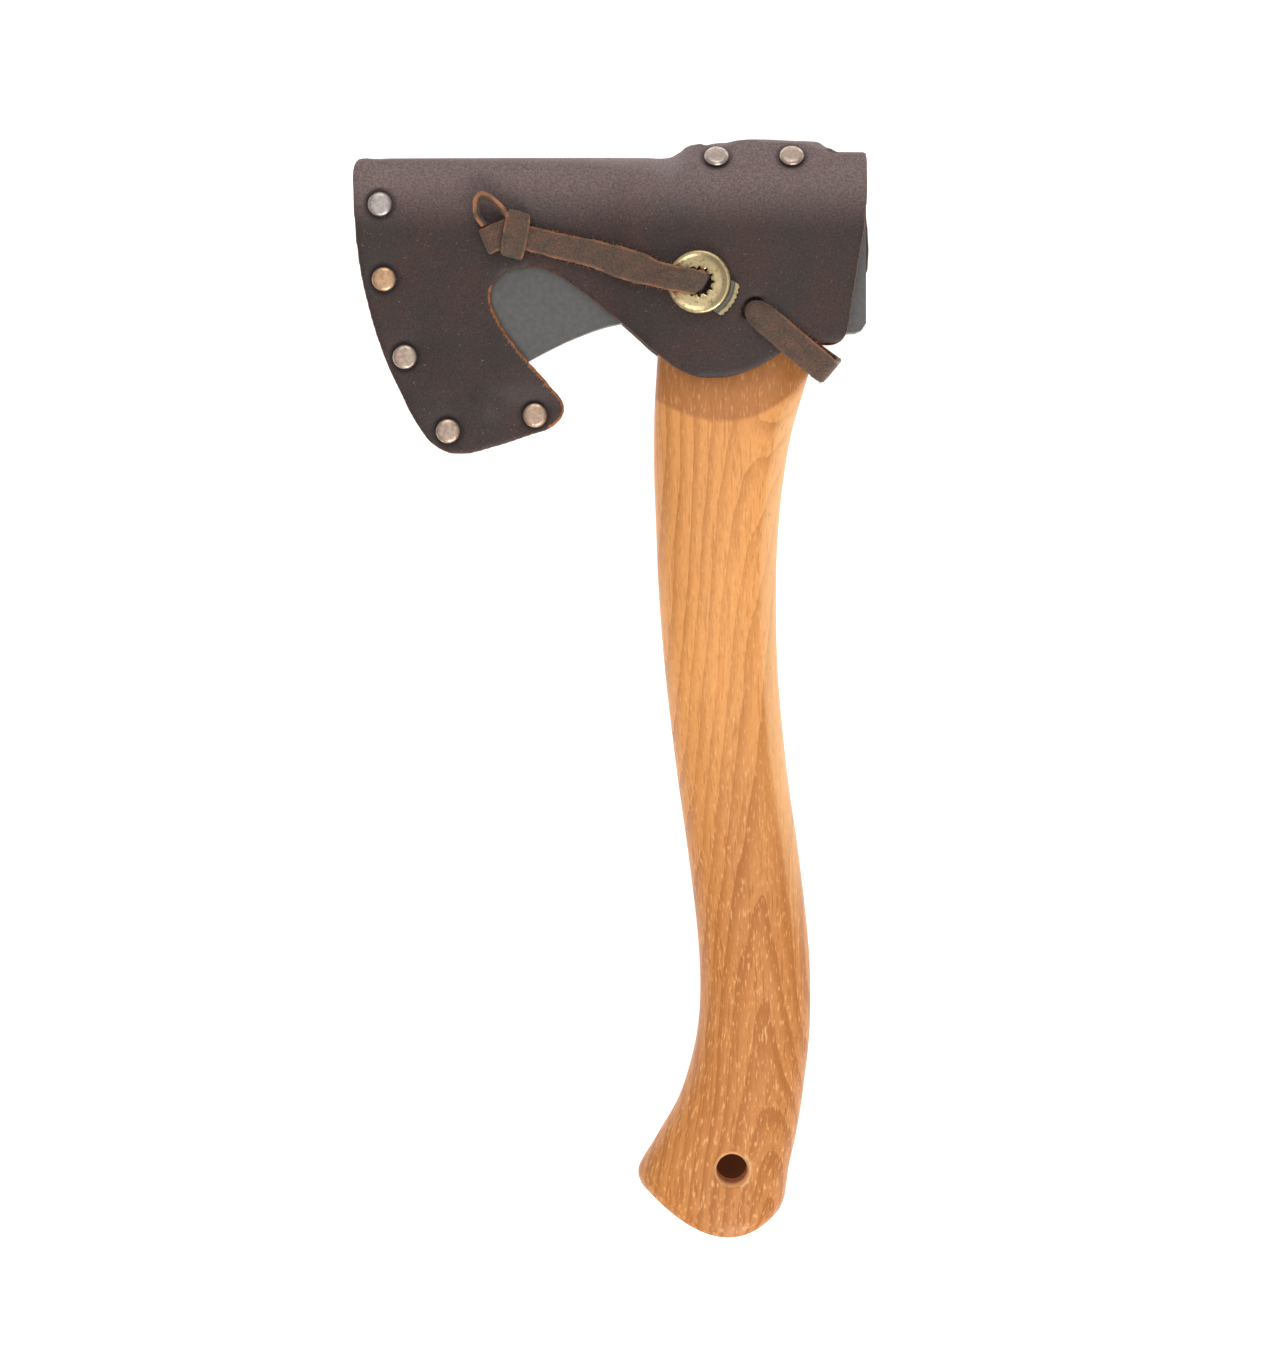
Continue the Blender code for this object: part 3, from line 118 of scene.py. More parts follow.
def tint(about, code):
    """Colour property with its default as an sRGB hex value."""
    return bpy.props.FloatVectorProperty(
        name=about.split(",")[0], description=about, subtype="COLOR", min=0.0, max=1.0, default=linear(code)
    )


def length(about, millimetres):
    """Length property with its default in millimetres."""
    return bpy.props.FloatProperty(
        name=about.split(",")[0], description=about, subtype="DISTANCE", min=1e-5, default=millimetres * MM
    )


class LeatherLook(bpy.types.PropertyGroup):
    """Colours and grain of the sheath and its thong"""

    sheath: tint("Sheath, oiled dark brown grain side", "#302420")
    sheath_warm: tint("Sheath warm, redder clouds in the dye", "#412a24")
    # The pale colour on the top of the fold is partly pull-up leather and partly a painted highlight
    pull_up_and_highlight: tint("Pull-up, paler leather where it is bent over the fold", "#75625e")
    cut_edge: tint("Cut edge, undyed fibres along the knife cuts", "#a9683a")
    dust: tint("Dust, pale specks in the pores", "#8a7f7a")
    strap: tint("Strap, soft brown thong", "#4f3f33")
    strap_warm: tint("Strap warm, redder wear in the thong", "#674636")
    strap_edge: tint("Strap edge, orange raw fibres", "#a66c45")
    welt: tint("Welt, undyed leather between the panels", "#7d4f30")
    pebble: length("Pebble, width of one pebble of the grain", 0.8)
    skin_step: length("Skin step, size of the mesh that the leather is shaped from", 0.8)


class WoodLook(bpy.types.PropertyGroup):
    """Colours and growth rings of the handle"""

    early: tint("Early wood, pale orange", "#e89f5a")
    late: tint("Late wood, darker line of each ring", "#b46d2f")
    fleck: tint("Fleck, pale short fibres", "#f3bb7c")
    pore: tint("Pore, dark short dashes", "#98602f")
    # This pale colour makes the stripe along the rear edge and a painted highlight on the rim of the lanyard
    # hole
    sapwood: tint("Sapwood, palest wood along the back of the upper grip", "#f6c38a")
    # The neck colour is partly end grain that drinks more oil and partly painted shade on the slope
    neck_cut_and_shade: tint("Neck cut, slope across the fibres that drinks more oil", "#b36f39")
    wedge: tint("Wedge, raw wood in the eye", "#b58a5a")
    ring: length("Ring, width of one year's growth", 2.2)


class MetalLook(bpy.types.PropertyGroup):
    """Colours of the head, the rivets and the lock"""

    steel: tint("Steel, dark scale from the forge", "#6d6b69")
    ground: tint("Ground edge, bright steel", "#7e7e7c")
    nickel: tint("Nickel, worn plating of the rivets", "#b9aea8")
    nickel_warm: tint("Nickel warm, brass showing through the plating", "#cda27c")
    brass: tint("Brass, pale face of the lock", "#c4b087")
    # The tarnish colour is tarnish on the cap, and painted shade on the base and washer under it
    tarnish: tint("Tarnish, dull brass in the hollows", "#8f7c55")
    # The plate grey covers the slider's sheet within the cap's reach
    plate: tint("Plate, grey worn sheet of the slider", "#6f6d65")


LOOKS = (("hatchet_leather", LeatherLook), ("hatchet_wood", WoodLook), ("hatchet_metal", MetalLook))


# Materials

# Sockets known by number: value and limits of a range, share and colours of a mix, factor of a scaled vector
VALUE, LOW, HIGH, TO_LOW, TO_HIGH = range(5)
SHARE, UNDER, OVER = 0, 6, 7
FACTOR = 3
# What makes a mix one of colours
COLOURS = {"data_type": "RGBA", "out": 2}


def feed(node, inputs):
    """Sets a node's inputs. Each is a value, or the socket that it is linked to."""
    for name, value in inputs.items():
        socket = node.inputs[name]
        if isinstance(value, bpy.types.NodeSocket):
            node.id_data.links.new(value, socket)
        else:
            socket.default_value = (*value, 1.0) if socket.type == "RGBA" else value


def add(tree, kind, inputs=None, out=0, **settings):
    """One output of a new shader node with its settings and inputs."""
    made = tree.nodes.new("ShaderNode" + kind)
    for name, value in settings.items():
        setattr(made, name, value)
    feed(made, inputs or {})
    return made.outputs[out]


def blank(name):
    """New material, its shader, a function that adds a node to it, and the place of each point."""
    made = bpy.data.materials.new(name)
    made.use_nodes = True
    node = partial(add, made.node_tree)
    return made, made.node_tree.nodes["Principled BSDF"], node, node("TexCoord", out="Object")


def per_metre(millimetres):
    """Texture scale whose pattern repeats at about this size."""
    return 1.0 / (millimetres * MM)


def noisy(node, place, size, detail, limits, to=(0.0, 1.0)):
    """Noise with lumps of a size in millimetres, and the same noise with its limits spread to others."""
    lumps = node("TexNoise", {"Vector": place, "Scale": per_metre(size), "Detail": detail})
    return lumps, node("MapRange", dict(enumerate((lumps, *limits, *to))))


def masked(node, mask, under, over):
    """Colour with another one over it, as far as a mask on the mesh says."""
    share = node("Attribute", attribute_name=mask, out="Fac")
    return node("Mix", {SHARE: share, UNDER: under, OVER: over}, **COLOURS)


def oiled_leather(look):
    """Chrome-tanned pull-up leather, dyed through and oiled.

    The dye lies in soft clouds, and knife cuts show redder raw fibres. The top of the fold is paler, partly
    as pull-up leather where the oil leaves the bend and partly as a painted highlight, and round each rivet
    the leather carries a dark ring of painted shade. The grain is a fine net of pebbles, drawn about twice
    its real width so that it shows.
    """
    made, shader, node, place = blank("oiled_pull_up_leather")
    clouds, cloudy = noisy(node, place, 16.0, 5.0, (0.38, 0.7))
    dye = node("Mix", {SHARE: cloudy, UNDER: look.sheath, OVER: look.sheath_warm}, **COLOURS)
    grit, grey = noisy(node, place, 0.6, 3.0, (0.3, 0.7), (0.6, 1.45))
    dyed = node("VectorMath", {0: dye, FACTOR: grey}, operation="SCALE")
    # Paler on the top of the fold: pull-up leather and a painted highlight
    paled_and_lit = node("VectorMath", {0: look.pull_up_and_highlight, FACTOR: grey}, operation="SCALE")
    drawn = masked(node, "bent", dyed, paled_and_lit)
    # A ring of painted shade darkens the leather round each rivet
    pressed = node("Attribute", attribute_name="pressed", out="Fac")
    rivet_shade = node("MapRange", {VALUE: pressed, TO_LOW: 1.0, TO_HIGH: 0.35})
    rivet_shaded = node("VectorMath", {0: drawn, FACTOR: rivet_shade}, operation="SCALE")
    _, dusty = noisy(node, place, 0.7, 0.0, (0.79, 0.87), (0.0, 0.5))
    dusted = node("Mix", {SHARE: dusty, UNDER: rivet_shaded, OVER: look.dust}, **COLOURS)
    cut = node("Attribute", attribute_name="cut_edge", out="Fac")
    _, raw = noisy(node, place, 1.2, 4.0, (0.25, 0.5))
    frayed = node("Math", {0: raw, 1: cut}, operation="MULTIPLY")
    colour = node("Mix", {SHARE: frayed, UNDER: dusted, OVER: look.cut_edge}, **COLOURS)
    waxed = node("MapRange", {VALUE: clouds, LOW: 0.3, HIGH: 0.7, TO_LOW: 0.5, TO_HIGH: 0.66})
    pebbles = node("TexVoronoi", {"Vector": place, "Scale": 1.0 / look.pebble})
    net = node("Math", {0: pebbles, 1: grit}, operation="SUBTRACT")
    bump = node("Bump", {"Strength": 0.35, "Distance": 0.12 * MM, "Height": net})
    feed(shader, {"Base Color": colour, "Roughness": waxed, "Normal": bump, "IOR": 1.48})
    return made


def strap_leather(look):
    """Soft oil-tanned thong cut from the split: a matt nap, with orange fibres along both cut edges."""
    made, shader, node, place = blank("oil_tanned_strap")
    wear, worn = noisy(node, place, 4.0, 6.0, (0.36, 0.72), (0.0, 0.8))
    ground = node("Mix", {SHARE: worn, UNDER: look.strap, OVER: look.strap_warm}, **COLOURS)
    nap, light = noisy(node, place, 0.6, 4.0, (0.3, 0.7), (0.6, 1.45))
    napped = node("VectorMath", {0: ground, FACTOR: light}, operation="SCALE")
    edge = node("Attribute", attribute_name="cut_edge", out="Fac")
    fray = node("MapRange", {VALUE: wear, LOW: 0.34, HIGH: 0.58, TO_LOW: 0.15})
    raw = node("Math", {0: fray, 1: edge}, operation="MULTIPLY")
    colour = node("Mix", {SHARE: raw, UNDER: napped, OVER: look.strap_edge}, **COLOURS)
    bump = node("Bump", {"Strength": 0.5, "Distance": 0.2 * MM, "Height": nap})
    feed(shader, {"Base Color": colour, "Normal": bump, "Roughness": 0.78, "Sheen Weight": 0.15})
    return made


def welt_leather(look):
    """Undyed vegetable-tanned strip, seen only on its cut edge: layered fibres, matt and reddish."""
    made, shader, node, place = blank("raw_welt_leather")
    flat = node("Mapping", {"Vector": place, "Scale": (1.0, 1.0, 5.0)})
    layers, shade = noisy(node, flat, 2.0, 5.0, (0.3, 0.7), (0.6, 1.2))
    base = node("VectorMath", {0: look.welt, FACTOR: shade}, operation="SCALE")
    bump = node("Bump", {"Strength": 0.6, "Distance": 0.2 * MM, "Height": layers})
    feed(shader, {"Base Color": base, "Normal": bump, "Roughness": 0.85})
    return made


def hickory(look):
    """Oiled hickory, turned and sanded: growth rings about a pith that leans towards the knob.

    The lean gives straight lines up the grip and pointed arches low down, where the wood is deeper in colour
    and its fibres spread with the knob. The cut fibres show as pale flecks, most of them low down, and dark
    pores, drawn a little wide so that they show.
    """
    made, shader, node, place = blank("oiled_hickory")
    lean = node("Mapping", {"Vector": place, "Location": -(TO_FRAME @ PITH)})
    grain = node("Mapping", {"Vector": lean, "Rotation": (math.atan(PITH_SLOPE), 0.0, PITH_TURN)})
    height = node("SeparateXYZ", {0: place}, out="Y")
    start, end = (ORIGIN.y + level * MM for level in SPREAD_HEIGHTS)
    limits = {VALUE: height, LOW: start, HIGH: end, TO_LOW: 1.0, TO_HIGH: 0.6}
    spread = node("MapRange", limits, interpolation_type="SMOOTHSTEP")
    narrow = node("CombineXYZ", {"X": spread, "Y": 1.0, "Z": 1.0})
    grain = node("VectorMath", {0: grain, 1: narrow}, operation="MULTIPLY")
    sway = node("Mapping", {"Vector": grain, "Scale": (1.0, 0.1, 1.0)})
    drift = node("TexNoise", {"Vector": sway, "Scale": per_metre(8.0), "Detail": 3.0}, out="Color")
    shift = node("VectorMath", {0: drift, 1: (0.5, 0.5, 0.5)}, operation="SUBTRACT")
    reach = (2.4 * MM, 0.0, 2.4 * MM)
    moved = node("VectorMath", {0: shift, 1: reach, 2: grain}, operation="MULTIPLY_ADD")
    # A wave of scale 1 repeats after a tenth of pi
    rings = node(
        "TexWave",
        {"Vector": moved, "Scale": math.pi / 10 / look.ring, "Distortion": 0.0},
        wave_type="RINGS",
        rings_direction="Y",
        wave_profile="SAW",
        out=1,
    )
    broad, strong = noisy(node, sway, 14.0, 2.0, (0.35, 0.62), (0.45, 0.85))
    line = node("MapRange", {VALUE: rings, LOW: 0.4, HIGH: 1.0, TO_HIGH: strong})
    thread = node("Mapping", {"Vector": moved, "Scale": (1.0, 0.02, 1.0)})
    _, lines = noisy(node, thread, 0.8, 2.0, (0.54, 0.68), (0.0, 0.5))
    late = node("Math", {0: line, 1: lines}, operation="MAXIMUM")
    start, end = (ORIGIN.y + level * MM for level in DEEPER_HEIGHTS)
    foot = node("MapRange", {VALUE: height, LOW: start, HIGH: end, TO_HIGH: 0.6})
    deeper = node("Math", {0: late, 1: 0.85, 2: foot}, operation="MULTIPLY_ADD", use_clamp=True)
    banded = node("Mix", {SHARE: deeper, UNDER: look.early, OVER: look.late}, **COLOURS)
    # Pale stripe along the rear edge, and a painted highlight on the rim of the lanyard hole
    striped = masked(node, "sapwood", banded, look.sapwood)
    # Darker slope above the shoulder line: end grain and painted shade
    neck_shaded = masked(node, "neck_cut_and_shade", striped, look.neck_cut_and_shade)
    along = node("Mapping", {"Vector": grain, "Scale": (1.0, 0.16, 1.0)})
    faint = node("MapRange", {VALUE: foot, HIGH: 0.6, TO_LOW: 0.45, TO_HIGH: 0.7})
    fine, pale = noisy(node, along, 0.55, 2.0, (0.57, 0.72), (0.0, faint))
    flecked = node("Mix", {SHARE: pale, UNDER: neck_shaded, OVER: look.fleck}, **COLOURS)
    dark = node("MapRange", {VALUE: fine, LOW: 0.42, HIGH: 0.28, TO_HIGH: 0.32})
    pored = node("Mix", {SHARE: dark, UNDER: flecked, OVER: look.pore}, **COLOURS)
    patch = node("MapRange", {VALUE: broad, LOW: 0.3, HIGH: 0.7, TO_LOW: 1.06, TO_HIGH: 0.92})
    colour = node("VectorMath", {0: pored, FACTOR: patch}, operation="SCALE")
    bump = node("Bump", {"Strength": 0.2, "Distance": 0.1 * MM, "Height": fine})
    feed(shader, {"Base Color": colour, "Normal": bump, "Roughness": 0.46, "IOR": 1.47})
    return made


def wedge_wood(look):
    """Raw wedge wood, split along the grain: pale, dry and fibrous."""
    made, shader, node, place = blank("raw_wedge_wood")
    along = node("Mapping", {"Vector": place, "Scale": (1.0, 0.1, 1.0)})
    _, shade = noisy(node, along, 0.9, 4.0, (0.3, 0.7), (0.7, 1.2))
    base = node("VectorMath", {0: look.wedge, FACTOR: shade}, operation="SCALE")
    feed(shader, {"Base Color": base, "Roughness": 0.8})
    return made


def forged_steel(look):
    """Drop-forged carbon steel: dark oiled scale with shallow pits, ground bright along the cutting edge."""
    made, shader, node, place = blank("forged_carbon_steel")
    middle = (TO_FRAME @ EDGE_MIDDLE).xy.to_3d()
    flat = node("VectorMath", {0: place, 1: (1.0, 1.0, 0.0)}, operation="MULTIPLY")
    away = node("VectorMath", {0: flat, 1: middle}, operation="DISTANCE", out="Value")
    inner, outer = (radius * MM for radius in GRIND_RADII)
    ground = node("MapRange", {VALUE: away, LOW: inner, HIGH: outer})
    _, shade = noisy(node, place, 1.6, 4.0, (0.3, 0.7), (0.9, 1.1))
    scaled = node("VectorMath", {0: look.steel, FACTOR: shade}, operation="SCALE")
    colour = node("Mix", {SHARE: ground, UNDER: scaled, OVER: look.ground}, **COLOURS)
    rough = node("MapRange", {VALUE: ground, TO_LOW: 0.55, TO_HIGH: 0.42})
    pits = node("TexNoise", {"Vector": place, "Scale": per_metre(0.8), "Detail": 4.0})
    bump = node("Bump", {"Strength": 0.3, "Distance": 0.12 * MM, "Height": pits})
    feed(shader, {"Base Color": colour, "Roughness": rough, "Normal": bump, "Metallic": 0.85})
    return made


def spring_steel():
    """Drawn spring wire: bright, and a little rougher in places."""
    made, shader, node, place = blank("drawn_spring_steel")
    _, rough = noisy(node, place, 0.4, 2.0, (0.0, 1.0), (0.2, 0.36))
    feed(shader, {"Base Color": linear("#b9b9b7"), "Roughness": rough, "Metallic": 1.0})
    return made


def nickel_plate(look):
    """Nickel-plated brass caps, set with a hammer: satin, with small dents and the brass showing on some."""
    made, shader, node, place = blank("worn_nickel_plate")
    plate = masked(node, "bare_brass", look.nickel, look.nickel_warm)
    wear, shade = noisy(node, place, 1.1, 5.0, (0.32, 0.62), (0.72, 1.08))
    base = node("VectorMath", {0: plate, FACTOR: shade}, operation="SCALE")
    rough = node("MapRange", {VALUE: wear, LOW: 0.3, HIGH: 0.7, TO_LOW: 0.48, TO_HIGH: 0.3})
    dents = node("TexNoise", {"Vector": place, "Scale": per_metre(1.8), "Detail": 2.0})
    bump = node("Bump", {"Strength": 0.35, "Distance": 0.25 * MM, "Height": dents})
    feed(shader, {"Base Color": base, "Roughness": rough, "Normal": bump, "Metallic": 1.0})
    return made


def lock_brass(look, name, bright):
    """Pressed brass with a pale lacquer that has worn: bright in some patches, dull and brown in others.

    The higher the bright limit, the more of the face is dull; near the top of the range the whole face is
    dull, which paints shade on the parts that lie in the hollow under the cap. The side by the slider is
    brighter, a painted highlight, and the sheet within the cap's reach is grey.
    """
    made, shader, node, place = blank(name)
    _, dull = noisy(node, place, 1.2, 6.0, (bright, bright - 0.22))
    faced = node("Mix", {SHARE: dull, UNDER: look.brass, OVER: look.tarnish}, **COLOURS)
    # The side by the slider is made brighter: a painted highlight
    slider_side_highlight = node("Attribute", attribute_name="slider_side_highlight", out="Fac")
    highlight_gain = node("MapRange", {VALUE: slider_side_highlight, TO_LOW: 0.9, TO_HIGH: 1.2})
    highlighted = node("VectorMath", {0: faced, FACTOR: highlight_gain}, operation="SCALE")
    colour = masked(node, "grey_under_cap", highlighted, look.plate)
    rough = node("MapRange", {VALUE: dull, TO_LOW: 0.3, TO_HIGH: 0.5})
    marks = node("TexNoise", {"Vector": place, "Scale": per_metre(0.8), "Detail": 4.0})
    bump = node("Bump", {"Strength": 0.2, "Distance": 0.08 * MM, "Height": marks})
    feed(shader, {"Base Color": colour, "Roughness": rough, "Normal": bump, "Metallic": 1.0})
    return made


# Shapes


def smooth(start, end, value):
    """Share that eases from 0 at the start to 1 at the end."""
    share = min(1.0, max(0.0, (value - start) / (end - start)))
    return share * share * (3.0 - 2.0 * share)


def hump(value, start, full, fade, end):
    """Share that rises from the start, is full in between and has faded at the end."""
    return smooth(start, full, value) * smooth(end, fade, value)


def bulged(value, power):
    """Power of a value that keeps its sign."""
    return math.copysign(abs(value) ** power, value)


def working(point):
    """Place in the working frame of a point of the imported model."""
    return (point - ORIGIN) / MM


def standing(spot, out):
    """Frame at a spot with Z along a direction."""
    return Matrix.Translation(spot) @ out.to_track_quat("Z", "Y").to_matrix().to_4x4()


def level_way(heading):
    """Direction of a heading seen from the front."""
    return Vector((math.cos(heading), math.sin(heading), 0.0))


def level_side(heading):
    """Width direction of a strap that runs along a heading."""
    return Vector((-math.sin(heading), math.cos(heading), 0.0))


def cad_copy(node):
    """Copy of a CAD node's mesh with its loose triangles joined."""
    bm = bmesh.new()
    bm.from_mesh(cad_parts[node].data)
    bmesh.ops.remove_doubles(bm, verts=bm.verts, dist=0.004 * MM)
    return bm


def holder(name, bm):
    """Object with this shape as its mesh."""
    mesh = bpy.data.meshes.new(name)
    bm.to_mesh(mesh)
    bm.free()
    made = bpy.data.objects.new(name, mesh)
    bpy.context.scene.collection.objects.link(made)
    return made


def shaped(made, helpers=()):
    """Shape of an object with its modifiers applied. The object and its helpers are then removed."""
    bpy.context.view_layer.update()
    mesh = bpy.data.meshes.new_from_object(made.evaluated_get(bpy.context.evaluated_depsgraph_get()))
    bm = bmesh.new()
    bm.from_mesh(mesh)
    bpy.data.meshes.remove(mesh)
    for item in (made, *helpers):
        old = item.data
        bpy.data.objects.remove(item)
        bpy.data.meshes.remove(old)
    return bm


def remeshed(bm, step):
    """Even skin of small squares over a closed shape."""
    made = holder("remesh", bm)
    change = made.modifiers.new("Remesh", "REMESH")
    change.mode = "VOXEL"
    change.voxel_size = step
    return shaped(made)


def soften(bm, corners, factor, times):
    """Evens out some corners of a shape."""
    for _ in range(times):
        bmesh.ops.smooth_vert(
            bm, verts=corners, factor=factor, use_axis_x=True, use_axis_y=True, use_axis_z=True
        )


def carved(bm, tools):
    """Closed shape with other closed shapes cut out of it."""
    made = holder("carved", bm)
    helpers = [holder("carving_tool", tool) for tool in tools]
    for helper in helpers:
        change = made.modifiers.new("Cut", "BOOLEAN")
        change.object = helper
        change.solver = "EXACT"
    return shaped(made, helpers)


def draped(columns, rows, place):
    """Grid whose every corner is put where place(column, row) says."""
    bm = bmesh.new()
    bmesh.ops.create_grid(bm, x_segments=columns, y_segments=rows, size=1.0)
    for vertex in bm.verts:
        column = round((vertex.co.x + 1) / 2 * columns)
        row = round((vertex.co.y + 1) / 2 * rows)
        vertex.co = place(column, row)
    return bm


def closed_tube(bm, gap=0.0005):
    """Joins a tube's seam, closes its ends and points its faces outwards."""
    bmesh.ops.remove_doubles(bm, verts=bm.verts, dist=gap)
    rims = [edge for edge in bm.edges if edge.is_boundary]
    if rims:
        bmesh.ops.holes_fill(bm, edges=rims, sides=0)
    bmesh.ops.recalc_face_normals(bm, faces=bm.faces)
    return bm


def turned(profile, steps):
    """Profile of (radius, height) pairs spun about Z into a closed shape."""
    bm = bmesh.new()
    run = [bm.verts.new((radius, 0.0, height)) for radius, height in profile]
    edges = [bm.edges.new(pair) for pair in zip(run, run[1:])]
    bmesh.ops.spin(
        bm, geom=run + edges, axis=(0.0, 0.0, 1.0), angle=2 * math.pi, steps=steps, use_merge=True
    )
    return closed_tube(bm)


def block(low, high):
    """Box between two corners."""
    bm = bmesh.new()
    size = [b - a for a, b in zip(low, high)]
    middle = [(a + b) / 2 for a, b in zip(low, high)]
    bmesh.ops.create_cube(bm, size=1.0, matrix=Matrix.LocRotScale(middle, None, size))
    return bm


def joined(first, *others):
    """One shape out of several."""
    for shape in others:
        mesh = bpy.data.meshes.new("joined")
        shape.to_mesh(mesh)
        shape.free()
        first.from_mesh(mesh)
        bpy.data.meshes.remove(mesh)
    return first


def finish(name, bm, surface, body, node, sharp, place=TO_FRAME):
    """Piece that rides on a body and stands for a CAD node. Edges over the sharp angle stay crisp."""
    bmesh.ops.transform(bm, matrix=place, verts=bm.verts)
    made = holder(name, bm)
    made.data.shade_smooth()
    made.data.set_sharp_from_angle(angle=math.radians(sharp))
    made.data.materials.append(surface)
    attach(made, body)
    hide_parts(node)
    return made


def node_middle(node):
    """Mean of a CAD node's corners."""
    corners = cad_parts[node].data.vertices
    return sum((corner.co for corner in corners), Vector()) / len(corners)


def dress(node, surface):
    """New material on a CAD node that keeps its own shape."""
    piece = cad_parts[node]
    piece.data.materials.clear()
    piece.data.materials.append(surface)


# Straps

STRAP_WIDTH = 9.2
STRAP_THICKNESS = 2.0
STRAP_STEP = 0.5
# Half of a strap's section, as shares of half its width and half its thickness: the flat face and a worn edge
STRAP_FACE = [(0.0, 1.0), (0.16, 1.0), (0.32, 1.0), (0.48, 1.0), (0.64, 1.0)]
STRAP_FACE += [(0.8, 0.98), (0.93, 0.8), (0.985, 0.45), (1.0, 0.0)]
# Loose fibres: radii at the root and the tip, the least length and what the longest have beyond it
FIBRE_ROOT, FIBRE_TIP = 0.08, 0.03
FIBRE_LENGTH, FIBRE_MORE = 0.4, 1.3


def rounded_path(corners, steps):
    """Straight runs through (point, bend radius) pairs, with every inner corner turned as an arc."""
    path = [Vector(corners[0][0])]
    for (before, _), (corner, bend), (after, _) in zip(corners, corners[1:], corners[2:]):
        before, corner, after = Vector(before), Vector(corner), Vector(after)
        inward = (corner - before).normalized()
        outward = (after - corner).normalized()
        reach = bend * math.tan(inward.angle(outward) / 2)
        reach = min(reach, 0.48 * (corner - before).length, 0.48 * (after - corner).length)
        start = corner - inward * reach
        end = corner + outward * reach
        for step in range(steps + 1):
            share = step / steps
            path.append(start.lerp(corner, share).lerp(corner.lerp(end, share), share))
    path.append(Vector(corners[-1][0]))
    return path


def strap_path(corners, steps):
    """Points at even distances along a rounded path."""
    path = rounded_path(corners, steps)
    spots = [path[0]]
    left = STRAP_STEP
    for before, after in zip(path, path[1:]):
        run = (after - before).length
        done = 0.0
        while run - done >= left:
            done += left
            spots.append(before.lerp(after, done / run))
            left = STRAP_STEP
        left -= run - done
    return spots


def strap_section():
    """Whole section of a strap, once round."""
    right = STRAP_FACE + [(across, -up) for across, up in STRAP_FACE[-2::-1]]
    left = [(-across, up) for across, up in right[-2:0:-1]]
    return right + left


def strap(path, sides, width, thickness, seed, ragged, form=None, fibres=0, raw=(1.0, 1.0)):
    """Strip of leather along a path, with each point's own width direction, and edges cut a little unevenly.

    The form gives each point's share of the width, how far its edges curl down and how deeply it is creased
    along its length. Loose fibres stand out of the edges, which show raw leather by their two shares.
    """
    section = strap_section()
    count = len(section)
    frames = []
    for index, (point, side) in enumerate(zip(path, sides)):
        along = (path[min(len(path) - 1, index + 1)] - path[max(0, index - 1)]).normalized()
        side = (side - along * side.dot(along)).normalized()
        share, curl, crease = form(index) if form else (1.0, 0.0, 0.0)
        frames.append((point, side, along.cross(side), share * width / 2, curl, crease))

    def place(column, row):
        """Corner of the strip, with its slow and quick fraying, its thick and thin spots and its creases."""
        point, side, up, half, curl, crease = frames[column]
        across, rise = section[row % count]
        fray = noise.noise((column * 0.09, math.copysign(9.0, across), seed))
        fray += 0.6 * noise.noise((column * 0.45, math.copysign(3.0, across), seed))
        swell = 1.0 + 0.1 * noise.noise((column * 0.12, across * 1.5, seed + 5.0))
        ripple = 0.16 * noise.noise((column * 0.17, across * 1.2, seed + 9.0))
        ripple += crease * noise.noise((column * 0.07, across * 3.2, seed + 14.0))
        wide = across * half + ragged * fray * bulged(across, 3)
        high = rise * swell * thickness / 2 + ripple - curl * across * across
        return point + side * wide + up * high

    bm = draped(len(frames) - 1, count, place)
    edge = bm.verts.layers.float.new("cut_edge")
    bm.verts.ensure_lookup_table()
    columns = len(frames)
    for index, vertex in enumerate(bm.verts):
        across, _ = section[(index // columns) % count]
        vertex[edge] = smooth(0.86, 0.97, abs(across)) * raw[across > 0]
    closed_tube(bm)
    rough = random.Random(seed)
    for _ in range(fibres):
        point, side, up, half, curl, _ = frames[rough.randrange(4, columns - 4)]
        if curl > 0.3:
            continue
        way = rough.choice((-1.0, 1.0))
        out = side * way + up * rough.uniform(-0.1, 0.7) + side.cross(up) * rough.uniform(-0.9, 0.9)
        long = FIBRE_LENGTH + FIBRE_MORE * rough.random() ** 2
        foot = point + side * (way * (half - 0.15)) + out.normalized() * long / 2
        stand = standing(foot, out)
        fibre = bmesh.ops.create_cone(
            bm, cap_ends=True, segments=3, radius1=FIBRE_ROOT, radius2=FIBRE_TIP, depth=long, matrix=stand
        )
        for vertex in fibre["verts"]:
            vertex[edge] = 1.0
    return bm


# Pieces

# Square lights that face the part: place, side and power
LIGHTS = {
    "overhead_softbox": ((0.0, 0.1, 2.2), 2.0, 7.5),
    "foot_softbox": ((0.5, -1.6, 1.5), 1.4, 33.0),
    "head_softbox": ((0.0, 1.7, 1.5), 1.4, 13.0),
}
CAMERA_PLACE = (0.0065, 0.0028, 4.019)
CAMERA_LENS = 330.9
FLOOR_GAP = 0.3
# Radii between which a dark painted shadow under the lanyard hole gives way to the bright floor
HOLE_SHADOW = (6.0, 7.6)


